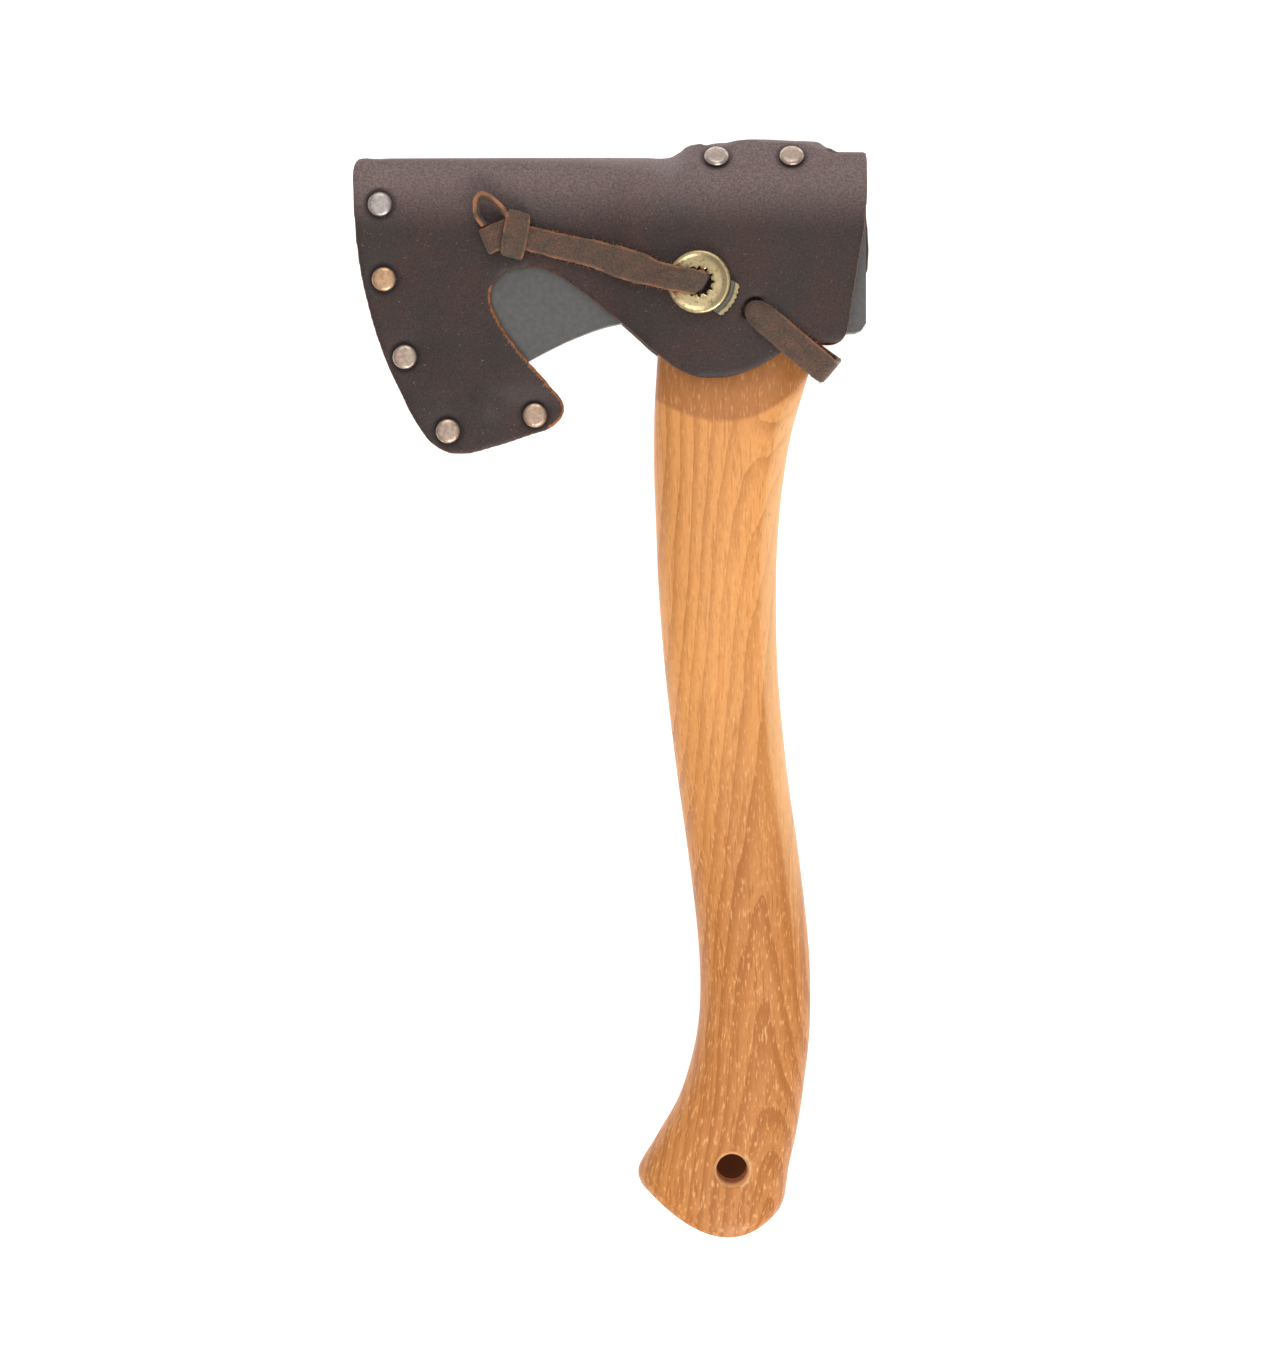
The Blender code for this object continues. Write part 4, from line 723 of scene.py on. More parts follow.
class HATCHET_OT_stage(bpy.types.Operator):
    """Pale floor, soft lights and the camera straight above"""

    bl_idname = "hatchet.stage"
    bl_label = "Stage"

    def execute(self, context):
        scene = context.scene
        low = CAD_BOX[0].z
        bm = bmesh.new()
        bmesh.ops.create_grid(bm, x_segments=2, y_segments=2, size=4.0)
        bmesh.ops.translate(bm, verts=bm.verts, vec=(0.0, 0.0, low - FLOOR_GAP * MM))
        floor = holder("floor", bm)
        surface, shader, node, place = blank("matt_white_floor")
        # The floor glows so that no shadow greys it, except under the lanyard hole, where a dark painted
        # shadow is laid on it
        under = TO_FRAME @ LANYARD
        under.z = low
        away = node("VectorMath", {0: place, 1: under}, operation="DISTANCE", out="Value")
        inner, outer = (radius * MM for radius in HOLE_SHADOW)
        glow = node("MapRange", {VALUE: away, LOW: inner, HIGH: outer, TO_HIGH: 0.8})
        # Dark brown painted shadow on the floor under the lanyard hole, fading into white
        dark, white = linear("#5c4333"), linear("#fafafa")
        floor_with_painted_shadow = node("Mix", {SHARE: glow, UNDER: dark, OVER: white}, **COLOURS)
        feed(shader, {"Base Color": floor_with_painted_shadow, "Roughness": 0.9, "Specular IOR Level": 0.1})
        feed(shader, {"Emission Color": (1.0, 1.0, 1.0), "Emission Strength": glow})
        floor.data.materials.append(surface)
        floor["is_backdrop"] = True

        scene.world = bpy.data.worlds.new("soft_white_room")
        scene.world.use_nodes = True
        feed(scene.world.node_tree.nodes["Background"], {"Color": (1.0, 1.0, 1.0), "Strength": 0.45})
        for name, (spot, size, power) in LIGHTS.items():
            lamp = bpy.data.lights.new(name, "AREA")
            lamp.size = size
            lamp.energy = power
            light = bpy.data.objects.new(name, lamp)
            light.location = spot
            light.rotation_euler = (-Vector(spot)).to_track_quat("-Z", "Y").to_euler()
            scene.collection.objects.link(light)

        eye = bpy.data.cameras.new("camera")
        eye.lens = CAMERA_LENS
        camera = bpy.data.objects.new("camera", eye)
        camera.location = CAMERA_PLACE
        scene.collection.objects.link(camera)
        scene.camera = camera
        scene.view_settings.view_transform = "Standard"
        return {"FINISHED"}


class HATCHET_OT_head(bpy.types.Operator):
    """Forged head and the steel wedge in its eye"""

    bl_idname = "hatchet.head"
    bl_label = "Head"

    # Lower corner of the poll: where it starts, what divides its two edges, and how far each is worn round
    CORNER_X, CORNER_Y = 39.0, 3.0
    EDGE_Y = 1.5
    LOWER_WEAR = Vector((0.7, 0.8, 0.0))
    UPPER_WEAR = Vector((0.0, 1.4, 0.0))

    def execute(self, context):
        surface = forged_steel(context.scene.hatchet_metal)
        shape = cad_copy("axe_head")
        for vertex in shape.verts:
            spot = working(vertex.co)
            if spot.x > self.CORNER_X and spot.y < self.CORNER_Y:
                vertex.co += (self.LOWER_WEAR if spot.y < self.EDGE_Y else self.UPPER_WEAR) * MM
        head = finish("forged_head", shape, surface, "hatchet", "axe_head", 24.0, AS_IS)
        # The large faces set the shading of the narrow ones along the ground edge
        even = head.modifiers.new("Even shading", "WEIGHTED_NORMAL")
        even.keep_sharp = True
        dress("steel_wedge", surface)
        return {"FINISHED"}


# Rows of the grip from the neck to the knob: front point, rear point, bow of the line between, thickness
GRIP_ROWS = [
    (-24.4, -1.4, 26.0, -1.4, 0.0, 19.5),
    (-25.0, -11.3, 25.0, -7.7, 5.4, 22.25),
    (-25.6, -21.2, 23.2, -14.0, 10.7, 25.0),
    (-25.9, -33.0, 18.4, -30.6, 7.0, 25.0),
    (-25.8, -46.0, 15.8, -45.0, 3.0, 25.0),
    (-25.2, -62.0, 14.0, -62.0, 0.0, 25.0),
    (-24.5, -80.0, 13.3, -80.0, 0.0, 25.0),
    (-22.4, -107.0, 13.8, -107.0, 0.0, 25.0),
    (-18.8, -138.0, 16.6, -138.0, 0.0, 25.0),
    (-14.6, -168.5, 20.8, -168.5, 0.0, 25.0),
    (-11.4, -198.0, 23.9, -198.0, 0.0, 25.0),
    (-11.8, -221.0, 24.1, -221.0, 0.0, 25.0),
    (-17.0, -241.5, 22.2, -239.5, 2.0, 26.5),
    (-24.6, -255.5, 20.1, -253.5, 5.0, 26.5),
    (-30.2, -264.8, 17.4, -266.0, 10.0, 26.5),
    (-30.9, -268.6, 16.0, -275.6, 12.4, 25.3),
    (-30.0, -271.3, 14.6, -279.2, 13.2, 22.0),
]
SHOULDER_ROW = 2
GRIP_STEPS = 8
GRIP_SIDES = 72
# Power that makes the grip's section fuller than an ellipse, and the direction in which its rows bow
GRIP_POWER = 2 / 2.35
BOW = Vector((0.17, -0.985, 0.0))
# Shares of the last row's thickness that close the knob, and how far they sink
KNOB_SHARES = (1.0, 0.9, 0.7, 0.4, 0.0)
KNOB_SINK = 0.33
# Tenon in the eye: half its length and width, and the heights of its rings
EYE_HALF_LENGTH = 20.2
EYE_HALF_WIDTH = 7.9
TENON = (47.7, 24.0, 2.0, -0.3)
# Cuts for the two wedges: two corners, the axis that tapers and the share of it that is left at the foot
WEDGE_CUTS = (
    ((-24.0, 16.4, -2.5), (24.0, 54.0, 2.5), 2, 0.32),
    ((-1.6, 34.4, -6.1), (1.6, 54.0, 6.1), 0, 0.44),
)
# Front half of the lanyard hole with its rounded rim, as (radius, height) pairs, and how far the hole leans
LANYARD_BORE = [(0.0, 26.0), (19.2, 26.0), (6.2, 13.25), (5.45, 12.45), (5.0, 11.7)]
BORE_LEAN = 0.05
GRIP_FRONT = 13.0
# Pale stripe along the rear edge: the heights where it starts, is full, fades and ends, and how wide it is
STRIPE_HEIGHTS = (-210.0, -150.0, -28.0, -14.0)
STRIPE_EDGE = (6.0, 4.4)


class HATCHET_OT_handle(bpy.types.Operator):
    """Hickory handle with its neck, knob, lanyard hole and sawn kerf, and the wooden wedge"""

    bl_idname = "hatchet.handle"
    bl_label = "Handle"

    def row_value(self, index, share, column):
        """Smooth reading of one column between two rows."""
        last = len(GRIP_ROWS) - 1
        p0, p1, p2, p3 = (GRIP_ROWS[min(last, max(0, index + shift))][column] for shift in (-1, 0, 1, 2))
        square = 2 * p0 - 5 * p1 + 4 * p2 - p3
        cube = 3 * p1 - p0 - 3 * p2 + p3
        return p1 + 0.5 * share * (p2 - p0 + share * (square + share * cube))

    def stations(self):
        """Rows of the grip at small steps, and a round end at the knob."""
        rows = []
        for index in range(len(GRIP_ROWS) - 1):
            for step in range(GRIP_STEPS):
                share = step / GRIP_STEPS
                row = [self.row_value(index, share, column) for column in range(5)]
                thick = GRIP_ROWS[index][5] * (1 - share) + GRIP_ROWS[index + 1][5] * share
                rows.append((*row, thick))
        front_x, front_y, rear_x, rear_y, bow, thick = GRIP_ROWS[-1]
        for share in KNOB_SHARES:
            sink = KNOB_SINK * math.sqrt(1 - share * share)
            rows.append((front_x, front_y - sink, rear_x, rear_y - sink, bow, thick * share))
        return rows

    def above_shoulder(self, point):
        """Whether a point of the neck lies on the slope that ends at the bowed shoulder line."""
        front_x, front_y, rear_x, rear_y, bow, _ = GRIP_ROWS[SHOULDER_ROW]
        share = (point.x - front_x) / (rear_x - front_x)
        share -= BOW.x * 4 * bow * share * (1 - share) / (rear_x - front_x)
        line = front_y + (rear_y - front_y) * share + BOW.y * 4 * bow * share * (1 - share)
        return point.y > line + 0.4

    def rear_edge(self, height):
        """X of the grip's rear edge at a height."""
        for (_, _, x, y, _, _), (_, _, next_x, next_y, _, _) in zip(GRIP_ROWS, GRIP_ROWS[1:]):
            if height > next_y:
                return x + (next_x - x) * (height - y) / (next_y - y)
        return GRIP_ROWS[-1][2]

    def grip(self):
        """Tenon, neck, grip and knob as one closed tube."""
        rows = self.stations()

        def place(column, row):
            angle = 2 * math.pi * row / GRIP_SIDES
            across = bulged(math.cos(angle), GRIP_POWER)
            up = bulged(math.sin(angle), GRIP_POWER)
            if column < len(TENON):
                return Vector((EYE_HALF_LENGTH * across, TENON[column], EYE_HALF_WIDTH * up))
            front_x, front_y, rear_x, rear_y, bow, thick = rows[column - len(TENON)]
            share = (across + 1) / 2
            front = Vector((front_x, front_y, 0.0))
            rear = Vector((rear_x, rear_y, 0.0))
            point = front.lerp(rear, share) + BOW * (bow * 4 * share * (1 - share))
            return point + Vector((0.0, 0.0, up * thick / 2))

        return closed_tube(draped(len(TENON) + len(rows) - 1, GRIP_SIDES, place), 0.002)

    def execute(self, context):
        look = context.scene.hatchet_wood
        below = [(radius, -height) for radius, height in reversed(LANYARD_BORE)]
        bore = turned(LANYARD_BORE + below, 48)
        # The drill has wandered a little, so the lower wall of the hole shows from the front
        for vertex in bore.verts:
            vertex.co.y += BORE_LEAN * (GRIP_FRONT - vertex.co.z)
        bmesh.ops.translate(bore, verts=bore.verts, vec=LANYARD)
        tools = [bore]
        for low, high, axis, foot in WEDGE_CUTS:
            tools.append(block(low, high))
            for vertex in tools[-1].verts:
                if vertex.co.y < TENON[0]:
                    vertex.co[axis] *= foot
        shape = carved(self.grip(), tools)
        neck = shape.verts.layers.float.new("neck_cut_and_shade")
        pale = shape.verts.layers.float.new("sapwood")
        for vertex in shape.verts:
            spot = vertex.co
            # The slope above the shoulder line is masked for end grain darkening and painted shade
            vertex[neck] = 0.8 if self.above_shoulder(spot) else 0.0
            back = self.rear_edge(spot.y) - spot.x
            stripe = 0.45 * smooth(*STRIPE_EDGE, back) * hump(spot.y, *STRIPE_HEIGHTS)
            # The rim of the lanyard hole is lightened as a painted highlight
            rim = 0.7 if spot.z > 11.0 and (spot - LANYARD).xy.length < 6.0 else 0.0
            vertex[pale] = max(rim, stripe)
        finish("hickory_handle", shape, hickory(look), "hatchet", "handle", 40.0)
        dress("eye_wedge", wedge_wood(look))
        return {"FINISHED"}


# How a rivet presses the leather: depth, and the distances over which the dimple and its ring of painted
# shade fade
DIMPLE_DEPTH = 0.8
DIMPLE_REACH = (6.4, 4.2)
RIVET_SHADE_REACH = (5.8, 4.5)
# Thickness over which leather counts as a cut edge, looking in from its surface, and the longest look
CUT_DEPTHS = (2.9, 4.4)
LONGEST_LOOK = 12.0
# Ear over the eye: its foot, the ends where the layers of the lap step down, and where its wave starts
EAR_FOOT = 54.0
EAR_ENDS = ((-18.0, -2.0), (23.0, 34.0))
EAR_CREST = 58.0
# Where the fold is let out or drawn in: which way, and the X where it starts, is full, fades and ends
FOLD_WAVES = ((1.0, -17.8, -15.5, -14.0, -8.0), (-1.0, -29.0, -22.0, -21.0, -17.8))
EAR_WAVES = ((1.0, -2.0, 5.0, 8.0, 22.0), (-1.0, -12.0, -9.0, -3.0, 1.0))
# Box around the lobe's side of the opening, where raw fibres show
LOBE_X = (-84.0, -36.0)
LOBE_Y = (-30.0, 16.0)
# Ring around the slot: its two radii, its depth and how far its middle lies down the thong
LIP_RADII = (4.4, 8.8)
LIP_DEPTH = 2.6
LIP_SHIFT = 3.2


class HATCHET_OT_sheath(bpy.types.Operator):
    """Folded leather sheath with its cut edges, and the welt between its panels"""

    bl_idname = "hatchet.sheath"
    bl_label = "Sheath"

    def rivet_seats(self):
        """Place and outward direction of every rivet half that presses into the leather."""
        for name in RIVETS:
            if name != "thong_rivet":
                cap, pin = (node_middle(f"{name}_{half}") for half in ("cap", "pin"))
                out = (cap - pin).normalized()
                yield cap, out
                yield pin, -out

    def slot_lip(self, walls):
        """Ring of leather that rounds the slot to the thong's end, flush with the panel around it."""
        run = level_way(NECK_HEADING)
        side = level_side(NECK_HEADING)
        spots = []
        for spot in (SLOT - run * 4.6, SLOT + side * 7.2 - run, SLOT - side * 7.2 - run):
            above = TO_FRAME @ (spot + Vector((0.0, 0.0, 40.0)))
            spots.append(walls.ray_cast(above, Vector((0.0, 0.0, -1.0)))[0])
        out = (spots[1] - spots[0]).cross(spots[2] - spots[0]).normalized()
        if out.z < 0:
            out = -out
        middle = TO_FRAME @ (SLOT + run * LIP_SHIFT)
        middle.z = spots[0].z - (out.x * (middle.x - spots[0].x) + out.y * (middle.y - spots[0].y)) / out.z
        inner, outer = LIP_RADII
        rim = [(inner, -LIP_DEPTH), (outer, -LIP_DEPTH), (outer, 0.0), (inner, 0.0), (inner, -LIP_DEPTH)]
        ring = turned(rim, 64)
        bmesh.ops.transform(ring, matrix=standing(middle, out) @ Matrix.Scale(MM, 4), verts=ring.verts)
        return ring

    def ear_end(self, point):
        """Whether a point is at an end of the ear, where the layers of the lap step down."""
        spot = working(point)
        return spot.y > EAR_FOOT and any(start < spot.x < end for start, end in EAR_ENDS)

    def press(self, faces, pressed):
        """Dimples the leather under each rivet, and masks the ring around it that is painted dark as shade.
        """
        for centre, out in self.rivet_seats():
            for vertex in faces:
                away = (vertex.co - centre) / MM
                high = away.dot(out)
                if abs(high) < 4.0 and vertex.normal.dot(out) > 0.3:
                    apart = (away - out * high).length
                    vertex.co -= out * (DIMPLE_DEPTH * MM * smooth(*DIMPLE_REACH, apart))
                    vertex[pressed] = max(vertex[pressed], smooth(*RIVET_SHADE_REACH, apart))

    def execute(self, context):
        look = context.scene.hatchet_leather
        source = cad_copy("sheath_leather")
        source = joined(source, self.slot_lip(BVHTree.FromBMesh(source)))
        walls = BVHTree.FromBMesh(source)
        skin = remeshed(source, look.skin_step)
        skin.normal_update()
        masks = skin.verts.layers.float
        cut, bent, pressed = (masks.new(name) for name in ("cut_edge", "bent", "pressed"))
        faces = []
        for vertex in skin.verts:
            inward = -vertex.normal
            hit = walls.ray_cast(vertex.co + inward * 0.3 * MM, inward, LONGEST_LOOK * MM)
            depth = hit[3] / MM if hit[0] else LONGEST_LOOK
            vertex[cut] = smooth(*CUT_DEPTHS, depth)
            if vertex[cut] < 0.2:
                faces.append(vertex)
        self.press(faces, pressed)
        soften(skin, faces, 0.5, 14)
        soften(skin, skin.verts, 0.45, 4)
        soften(skin, [vertex for vertex in skin.verts if self.ear_end(vertex.co)], 0.5, 10)
        skin.normal_update()
        rims = set()
        for vertex in skin.verts:
            spot = working(vertex.co)
            # Smoothing draws the fold in, so it is let out again, most at its front corner and at the step up
            # to the ear. The top of the fold is paler, partly pull-up leather and partly a painted highlight,
            # and raw fibres show most on the lobe's side of the opening
            corner = smooth(-113.0, -121.0, spot.x) * smooth(46.0, 54.0, spot.y)
            waves = FOLD_WAVES + EAR_WAVES if spot.y > EAR_CREST else FOLD_WAVES
            step = sum(way * hump(spot.x, *reach) for way, *reach in waves)
            let_out = (0.7 + 0.5 * step) * smooth(0.3, 0.9, vertex.normal.y)
            vertex.co.y += (let_out + 1.8 * corner) * MM
            vertex[bent] = 0.9 * smooth(32.0, 53.0, spot.y) * (1.0 - vertex[cut])
            lobe = LOBE_X[0] < spot.x < LOBE_X[1] and LOBE_Y[0] < spot.y < LOBE_Y[1] and vertex.normal.x > 0.2
            if lobe and vertex[cut] > 0.6:
                rims.update(edge.other_vert(vertex) for edge in vertex.link_edges)
            if (spot - SLOT).xy.length < 12.0:
                vertex[cut] = 0.0
            elif not lobe:
                vertex[cut] *= 0.3
        for vertex in rims:
            vertex[cut] = max(0.85, vertex[cut])
        surface = oiled_leather(look)
        finish("folded_sheath", skin, surface, "sheath", "sheath_leather", 70.0, AS_IS)
        welt = remeshed(cad_copy("edge_welt"), 0.6 * MM)
        soften(welt, welt.verts, 0.5, 1)
        surface = welt_leather(look)
        finish("edge_welt_strip", welt, surface, "sheath", "edge_welt", 70.0, AS_IS)
        return {"FINISHED"}


class HATCHET_OT_rivets(bpy.types.Operator):
    """Double-cap rivets along the edge, through the lap and on the thong"""

    bl_idname = "hatchet.rivets"
    bl_label = "Rivets"

    # Crown of a cap to its rolled rim, as (radius, height) pairs from the crown down
    CAP = [(0.0, 0.0), (1.6, -0.02), (2.6, -0.07), (3.2, -0.18), (3.6, -0.4), (3.88, -0.75)]
    CAP += [(4.0, -1.12), (3.9, -1.28), (3.6, -1.3)]
    # Outer and inner radius of the stem of each half
    STEMS = {"cap": (1.7, 1.2), "pin": (0.9, 0.0)}
    CHAMFER = 0.15
    SOCKET_TOP = -1.6

    def crown(self, node, axis):
        """Frame at the top of a rivet half, with Z out along its axis, and how deep the half is."""
        middle = node_middle(node)
        rises = [(corner.co - middle).dot(axis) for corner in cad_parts[node].data.vertices]
        top = standing(middle + axis * max(rises), axis) @ Matrix.Scale(MM, 4)
        return top, (max(rises) - min(rises)) / MM

    def execute(self, context):
        surface = nickel_plate(context.scene.hatchet_metal)
        for name, worn in RIVETS.items():
            axis = (node_middle(f"{name}_cap") - node_middle(f"{name}_pin")).normalized()
            for half, way in (("cap", axis), ("pin", -axis)):
                node = f"{name}_{half}"
                if node == "thong_rivet_pin":
                    dress(node, surface)
                    continue
                place, depth = self.crown(node, way)
                outer, inner = self.STEMS[half]
                stem = [(outer, self.CAP[-1][1]), (outer, self.CHAMFER - depth)]
                stem += [(outer - self.CHAMFER, -depth), (inner, -depth)]
                if inner:
                    stem += [(inner, self.SOCKET_TOP), (0.0, self.SOCKET_TOP)]
                bm = turned(self.CAP + stem, 40)
                bare = bm.verts.layers.float.new("bare_brass")
                for vertex in bm.verts:
                    vertex[bare] = worn
                finish(f"{node}_pressed", bm, surface, "sheath", node, 50.0, place)
        return {"FINISHED"}


LOCK_SPOT = Vector((-11.2, 16.6, 17.334))
LOCK_TILT = math.radians(7.0)
LOCK_SLIDE = math.radians(-30.3)


def lock_frame():
    """Frame of the lock on the leather, with X the way its slider comes out."""
    out = Vector((-math.sin(LOCK_TILT), 0.0, math.cos(LOCK_TILT)))
    slide = level_way(LOCK_SLIDE)
    slide = (slide - out * slide.dot(out)).normalized()
    turn = Matrix((slide, out.cross(slide), out)).transposed().to_4x4()
    return Matrix.Translation(LOCK_SPOT) @ turn


class HATCHET_OT_lock(bpy.types.Operator):
    """Brass push lock: domed cap with a toothed hole, and the slider, base, washer and spring under it"""

    bl_idname = "hatchet.lock"
    bl_label = "Lock"

    # Cap from the edge of its hole over the rolled rim and back inside, as (radius, height) pairs
    CAP = [(4.9, 3.0), (5.1, 3.14), (5.5, 3.2), (6.4, 3.14), (7.3, 3.16), (8.0, 3.28), (8.6, 3.5)]
    CAP += [(9.0, 3.7), (9.35, 3.78), (9.7, 3.7), (10.0, 3.42), (10.17, 3.0), (10.25, 2.5)]
    CAP += [(10.25, 0.5), (10.1, 0.4), (9.35, 0.4), (9.35, 2.5), (4.9, 2.5), (4.9, 3.0)]
    # Teeth of the hole: how many would go round it, their depth, and the angles where they fade out
    TEETH = 12
    TOOTH_DEPTH = 0.85
    TOOTH_FADE = (145.0, 130.0)
    # Slider: its stepped end under the cap, its groove, its thumb edge and the knurls on that
    STEP_RADIUS = 11.9
    GROOVE_RADII = (11.2, 11.95)
    THUMB_RADIUS = 12.9
    KNURLS = 48
    KNURL_DEPTH = 0.2

    def lid(self):
        """Cap whose hole comes in on the slider's side and has teeth filed into it there."""
        lid = turned(self.CAP, 180)
        for vertex in lid.verts:
            radius = math.hypot(vertex.co.x, vertex.co.y)
            angle = math.degrees(math.atan2(vertex.co.y, vertex.co.x))
            if radius < 5.3:
                notch = max(0.0, math.cos(math.radians(angle * self.TEETH))) ** 0.7
                grow = self.TOOTH_DEPTH * (notch - 1.0) * smooth(*self.TOOTH_FADE, abs(angle))
                grow *= 1.0 if radius < 5.0 else 0.55
                vertex.co.x *= 1.0 + grow / radius
                vertex.co.y *= 1.0 + grow / radius
        lid = carved(lid, [block((3.0, -6.05, -1.7), (14.25, 6.05, 2.48))])
        # Mask of the side by the slider, for a painted highlight
        slider_side_highlight = lid.verts.layers.float.new("slider_side_highlight")
        for vertex in lid.verts:
            vertex[slider_side_highlight] = smooth(-4.0, 7.0, 0.9 * vertex.co.x - 0.45 * vertex.co.y)
        return lid

    def band(self, inner, outer, low, high, steps):
        """Ring between two radii and two heights."""
        return turned([(inner, low), (outer, low), (outer, high), (inner, high), (inner, low)], steps)

    def slider(self):
        """Sheet with a window for the thong, a groove and a knurled thumb edge at its free end."""
        over = turned([(0.0, 2.2), (self.STEP_RADIUS, 2.2), (self.STEP_RADIUS, 4.0), (0.0, 4.0)], 96)
        groove = self.band(*self.GROOVE_RADII, 1.45, 3.0, 96)
        beyond = self.band(self.THUMB_RADIUS, 20.0, 0.0, 5.0, 288)
        for vertex in beyond.verts:
            if vertex.co.xy.length < 14.0:
                knurl = self.KNURL_DEPTH * math.cos(self.KNURLS * math.atan2(vertex.co.y, vertex.co.x))
                vertex.co.xy *= 1.0 + knurl / self.THUMB_RADIUS
        window = block((-3.6, -4.9, 0.5), (5.3, 4.9, 3.0))
        sheet = carved(block((-4.4, -5.7, 1.25), (14.5, 5.7, 3.1)), [over, groove, beyond, window])
        # The sheet within the cap's reach is grey
        grey_under_cap = sheet.verts.layers.float.new("grey_under_cap")
        for vertex in sheet.verts:
            vertex[grey_under_cap] = 1.0 if vertex.co.xy.length < 11.8 else 0.0
        return sheet

    def execute(self, context):
        look = context.scene.hatchet_metal
        surface = lock_brass(look, "worn_brass_with_painted_highlight", 0.48)
        place = TO_FRAME @ lock_frame()
        lid, sheet = self.lid(), self.slider()
        finish("lock_cap_pressed", lid, surface, "sheath", "lock_cap", 40.0, place)
        finish("lock_slider_sheet", sheet, surface, "lock_slider", "lock_slider", 40.0, place)
        # Base and washer are made almost wholly dull brown: painted shade in the hollow under the cap
        dull = lock_brass(look, "tarnished_brass_with_painted_shade", 0.9)
        for node in ("lock_base", "lock_washer"):
            dress(node, dull)
        dress("lock_spring", spring_steel())
        return {"FINISHED"}


# Headings of the thong: from the lock to its slot and round the neck, and of its tail out of the lock's hole,
# along the panel and at the knot
LEAD_HEADING = -0.466
NECK_HEADING = -0.701
HOLE_HEADING = 2.613
TAIL_HEADING = 2.998
KNOT_HEADING = 2.873
# How far above the slot's middle the thong comes out of it
SLOT_MOUTH = Vector((0.0, 0.0, 16.6))
# Corners that each strap goes through, with the radius of the bend there
NECK_ROUTE = [
    ((-10.51, 16.1, 18.23), 0.0),
    ((-9.9, 16.1, 13.26), 2.2),
    ((-3.05, 12.75, 14.28), 20.0),
    ((4.6, 8.9, 13.5), 2.2),
    ((4.6, 8.9, 19.15), 2.2),
    ((13.77, 1.16, 19.1), 30.0),
    ((25.01, -8.33, 18.5), 10.0),
    ((29.6, -12.2, 17.5), 4.0),
    ((31.5, -9.9, -16.4), 4.0),
    ((5.91, 7.79, -16.4), 0.0),
]
TAIL_ROUTE = [
    ((-10.56, 16.1, 18.62), 0.0),
    ((-11.05, 16.1, 22.59), 2.2),
    ((-22.4, 18.2, 21.36), 40.0),
    ((-28.2, 20.3, 16.85), 40.0),
    ((-33.0, 21.8, 15.77), 40.0),
    ((-42.9, 25.2, 12.76), 40.0),
    ((-54.4, 27.9, 11.18), 40.0),
    ((-63.6, 30.1, 10.6), 20.0),
    ((-70.0, 31.9, 11.2), 0.0),
]
LOBE_ROUTE = [
    ((-71.5, 33.4, 11.4), 0.0),
    ((-79.0, 30.0, 11.0), 1.4),
    ((-80.2, 29.5, 9.4), 1.4),
    ((-71.5, 33.4, 9.3), 0.0),
]
LOOP_ROUTE = [
    ((-72.6, 37.2, 11.7), 0.0),
    ((-75.0, 40.7, 11.7), 3.0),
    ((-78.5, 43.7, 11.7), 3.0),
    ((-81.4, 44.8, 11.7), 2.0),
    ((-82.8, 42.5, 11.7), 3.0),
    ((-82.4, 38.4, 11.7), 3.0),
    ((-80.0, 34.4, 11.7), 0.0),
]
LOOP_MIDDLE = Vector((-78.4, 39.6, 11.7))
# Where the lobe's fold lies as seen from the front
LOBE_FOLD = Vector((-79.4, 29.8, 0.0))
LOBE_ROOT = Vector((-71.5, 33.4, 0.0))
# Band of the knot: its middle, half its width and height, the steps round it and how square it is
BAND_MIDDLE = Vector((-70.2, 32.0, 11.3))
BAND_WIDE, BAND_HIGH = 6.7, 2.3
BAND_STEPS = 48
BAND_POWER = 0.6


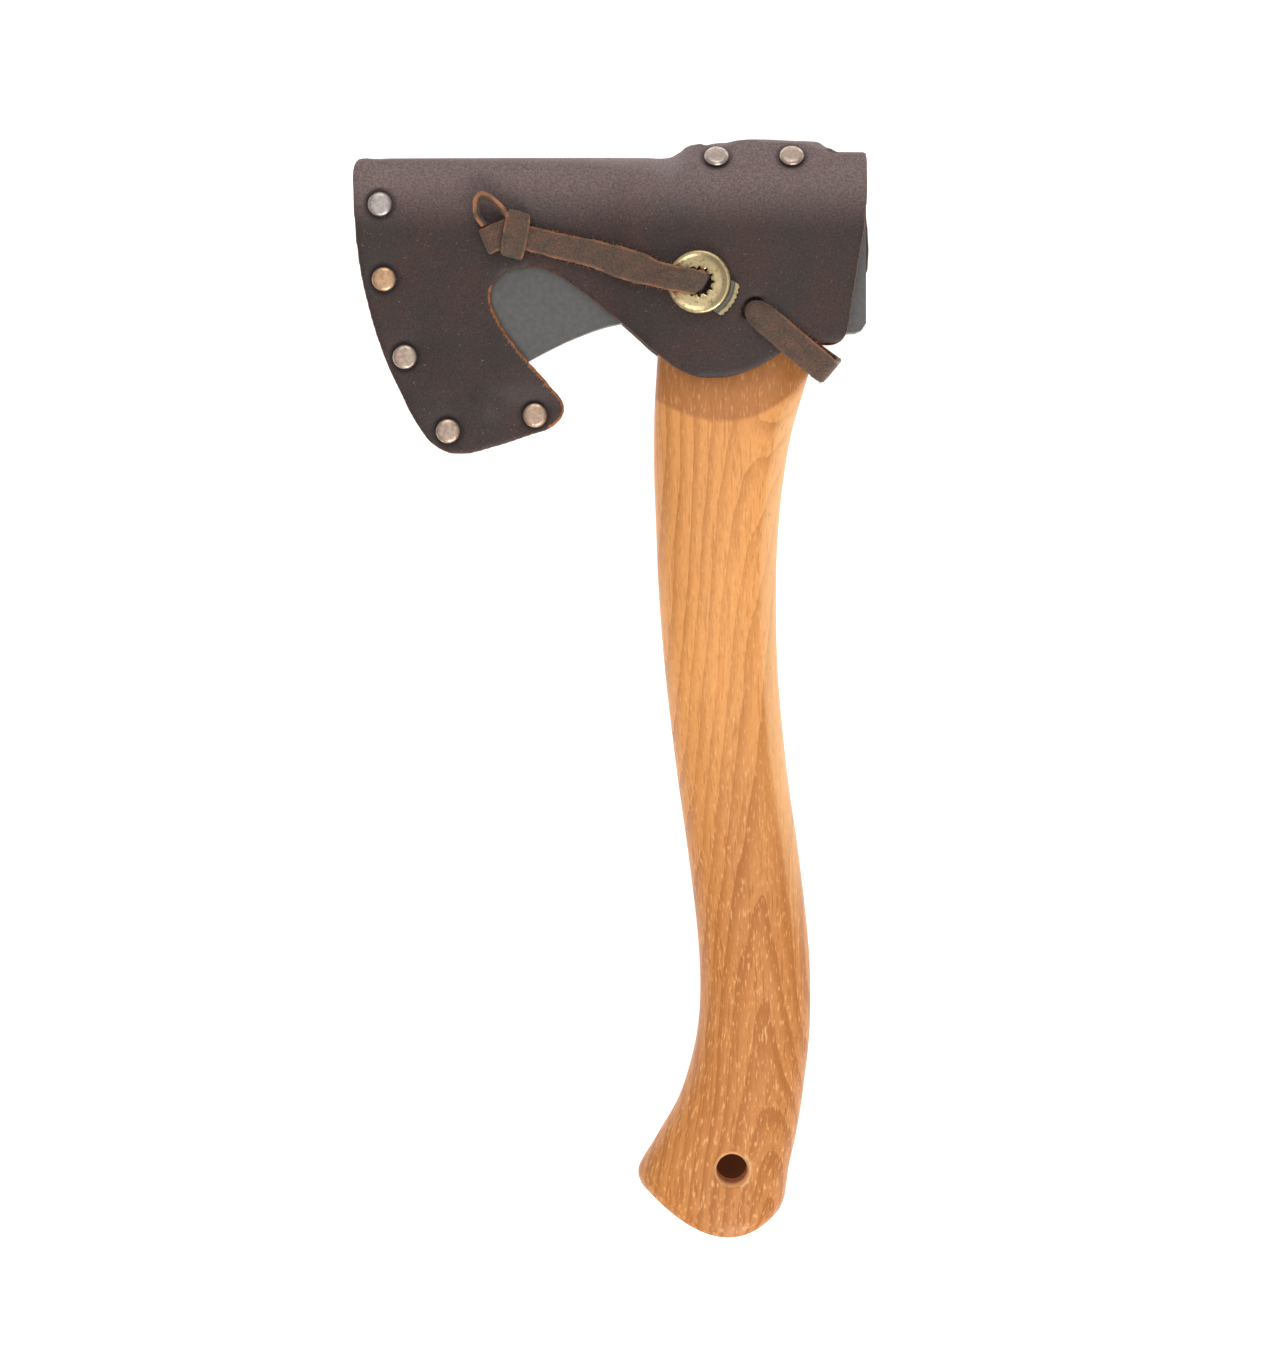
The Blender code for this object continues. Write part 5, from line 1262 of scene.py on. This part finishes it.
class HATCHET_OT_thong(bpy.types.Operator):
    """Thong from the back rivet round the neck of the handle to the lock, with its tail and the knot"""

    bl_idname = "hatchet.thong"
    bl_label = "Thong"

    def neck(self, surface):
        """Run of the thong from the lock, out through the slot and round the neck to the back rivet."""
        path = strap_path(NECK_ROUTE, 8)
        along = level_way(NECK_HEADING)
        sides = []
        crossed = False
        for point in path:
            past = (point.xy.to_3d() - SLOT).dot(along)
            crossed = crossed or past > -1.0
            share = 1.0 if crossed else smooth(-16.0, -3.0, past)
            sides.append(level_side(LEAD_HEADING + (NECK_HEADING - LEAD_HEADING) * share))
        distances = [(point - SLOT - SLOT_MOUTH).length for point in path]
        mouth = distances.index(min(distances))

        def squeezed(index):
            """Narrowed and rolled where it comes out of the slot, and narrower behind the neck."""
            past = (index - mouth) * STRAP_STEP
            roll = hump(past, -9.0, -4.0, 3.0, 9.0)
            share = 1.0 - 0.14 * roll - 0.12 * smooth(31.0, 37.0, past)
            return share, 3.0 * roll, 0.7 * hump(past, 8.0, 14.0, 30.0, 36.0)

        bm = strap(path, sides, STRAP_WIDTH, STRAP_THICKNESS, 2.0, 0.25, squeezed, 140, (0.2, 0.9))
        finish("neck_thong_strap", bm, surface, "sheath", "neck_thong", 80.0)

    def tail(self, surface):
        """Free end of the thong from the lock's hole to the knot, and the path that it lies along."""
        path = strap_path(TAIL_ROUTE, 8)
        sides = []
        for point in path:
            heading = HOLE_HEADING + (TAIL_HEADING - HOLE_HEADING) * smooth(-11.2, -14.2, point.x)
            heading += (KNOT_HEADING - TAIL_HEADING) * smooth(-18.0, -44.0, point.x)
            sides.append(level_side(heading))

        def pinched(index):
            """Rolled in the lock's hole, waisted and then widest beyond it, and tapered to the knot."""
            past = index * STRAP_STEP
            roll = smooth(8.0, 4.0, past)
            waist = hump(past, 4.0, 12.0, 14.0, 24.0)
            share = 0.94 - 0.1 * roll - 0.06 * waist - 0.08 * smooth(38.0, 60.0, past)
            share += 0.14 * hump(past, 18.0, 27.0, 30.0, 44.0)
            return share, 1.3 * roll, 0.25 * roll + 0.9 * waist

        bm = strap(path, sides, STRAP_WIDTH, STRAP_THICKNESS, 7.0, 0.4, pinched, 240)
        return finish("thong_tail_strap", bm, surface, "sheath", "thong_tail", 80.0), path

    def knot(self, surface):
        """Band round the end of the tail, a folded lobe beyond it and a small loop on its edge."""
        along = level_way(KNOT_HEADING)
        across = level_side(KNOT_HEADING)
        up = Vector((0.0, 0.0, 1.0))
        ring = []
        for step in range(BAND_STEPS + 1):
            angle = 2 * math.pi * step / BAND_STEPS
            wide = BAND_WIDE * bulged(math.cos(angle), BAND_POWER)
            high = BAND_HIGH * bulged(math.sin(angle), BAND_POWER)
            ring.append(BAND_MIDDLE + across * wide + up * high - along * (0.1 * wide))

        def turned_over(index):
            """Narrower where the band turns over the edges of the tail."""
            return 0.8 + 0.2 * abs(math.sin(2 * math.pi * index / BAND_STEPS)) ** 0.7, 0.0, 0.2

        def creased(index):
            """As wide everywhere, and creased along its length."""
            return 1.0, 0.0, 0.6

        band = strap(ring, [along] * len(ring), 8.0, 1.7, 11.0, 0.18, turned_over)
        path = strap_path(LOBE_ROUTE, 6)
        lead = (LOBE_FOLD - LOBE_ROOT).normalized()
        lobe = strap(path, [Vector((-lead.y, lead.x, 0.0))] * len(path), 8.6, 1.5, 13.0, 0.2)
        path = strap_path(LOOP_ROUTE, 6)
        sides = [up + 0.3 * (point - LOOP_MIDDLE).normalized() for point in path]
        loop = strap(path, sides, 5.2, 1.3, 17.0, 0.3, creased, 30)
        whole = joined(band, lobe, loop)
        return finish("thong_end_knot", whole, surface, "sheath", "thong_knot", 80.0)

    def execute(self, context):
        surface = strap_leather(context.scene.hatchet_leather)
        self.neck(surface)
        tail, path = self.tail(surface)
        knot = self.knot(surface)
        line = [TO_FRAME @ point for point in path]
        total = sum((b - a).length for a, b in zip(line, line[1:]))
        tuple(line[0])
        return {"FINISHED"}


PIECES = (
    HATCHET_OT_stage,
    HATCHET_OT_thong,
    HATCHET_OT_head,
    HATCHET_OT_handle,
    HATCHET_OT_sheath,
    HATCHET_OT_rivets,
    HATCHET_OT_lock,
)


class HATCHET_PT_pieces(bpy.types.Panel):
    """Sizes, colours and one button for each piece"""

    bl_idname = "HATCHET_PT_pieces"
    bl_label = "Sheathed Hatchet"
    bl_space_type = "VIEW_3D"
    bl_region_type = "UI"
    bl_category = "Hatchet"

    def draw(self, context):
        for name, group in LOOKS:
            look = getattr(context.scene, name)
            box = self.layout.box()
            for key in group.__annotations__:
                box.prop(look, key)
        for piece in PIECES:
            self.layout.operator(piece.bl_idname)


def register():
    for name, group in LOOKS:
        bpy.utils.register_class(group)
        setattr(bpy.types.Scene, name, bpy.props.PointerProperty(type=group))
    for item in (*PIECES, HATCHET_PT_pieces):
        bpy.utils.register_class(item)


def unregister():
    for item in reversed((*PIECES, HATCHET_PT_pieces)):
        bpy.utils.unregister_class(item)
    for name, group in reversed(LOOKS):
        delattr(bpy.types.Scene, name)
        bpy.utils.unregister_class(group)


def main():
    register()
    for piece in PIECES:
        group, name = piece.bl_idname.split(".")
        getattr(getattr(bpy.ops, group), name)()
    boxes = {"cad": CAD_BOX, "visual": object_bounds()}
    {name: [list(corner) for corner in box] for name, box in boxes.items()}


if __name__ == "__main__":
    main()
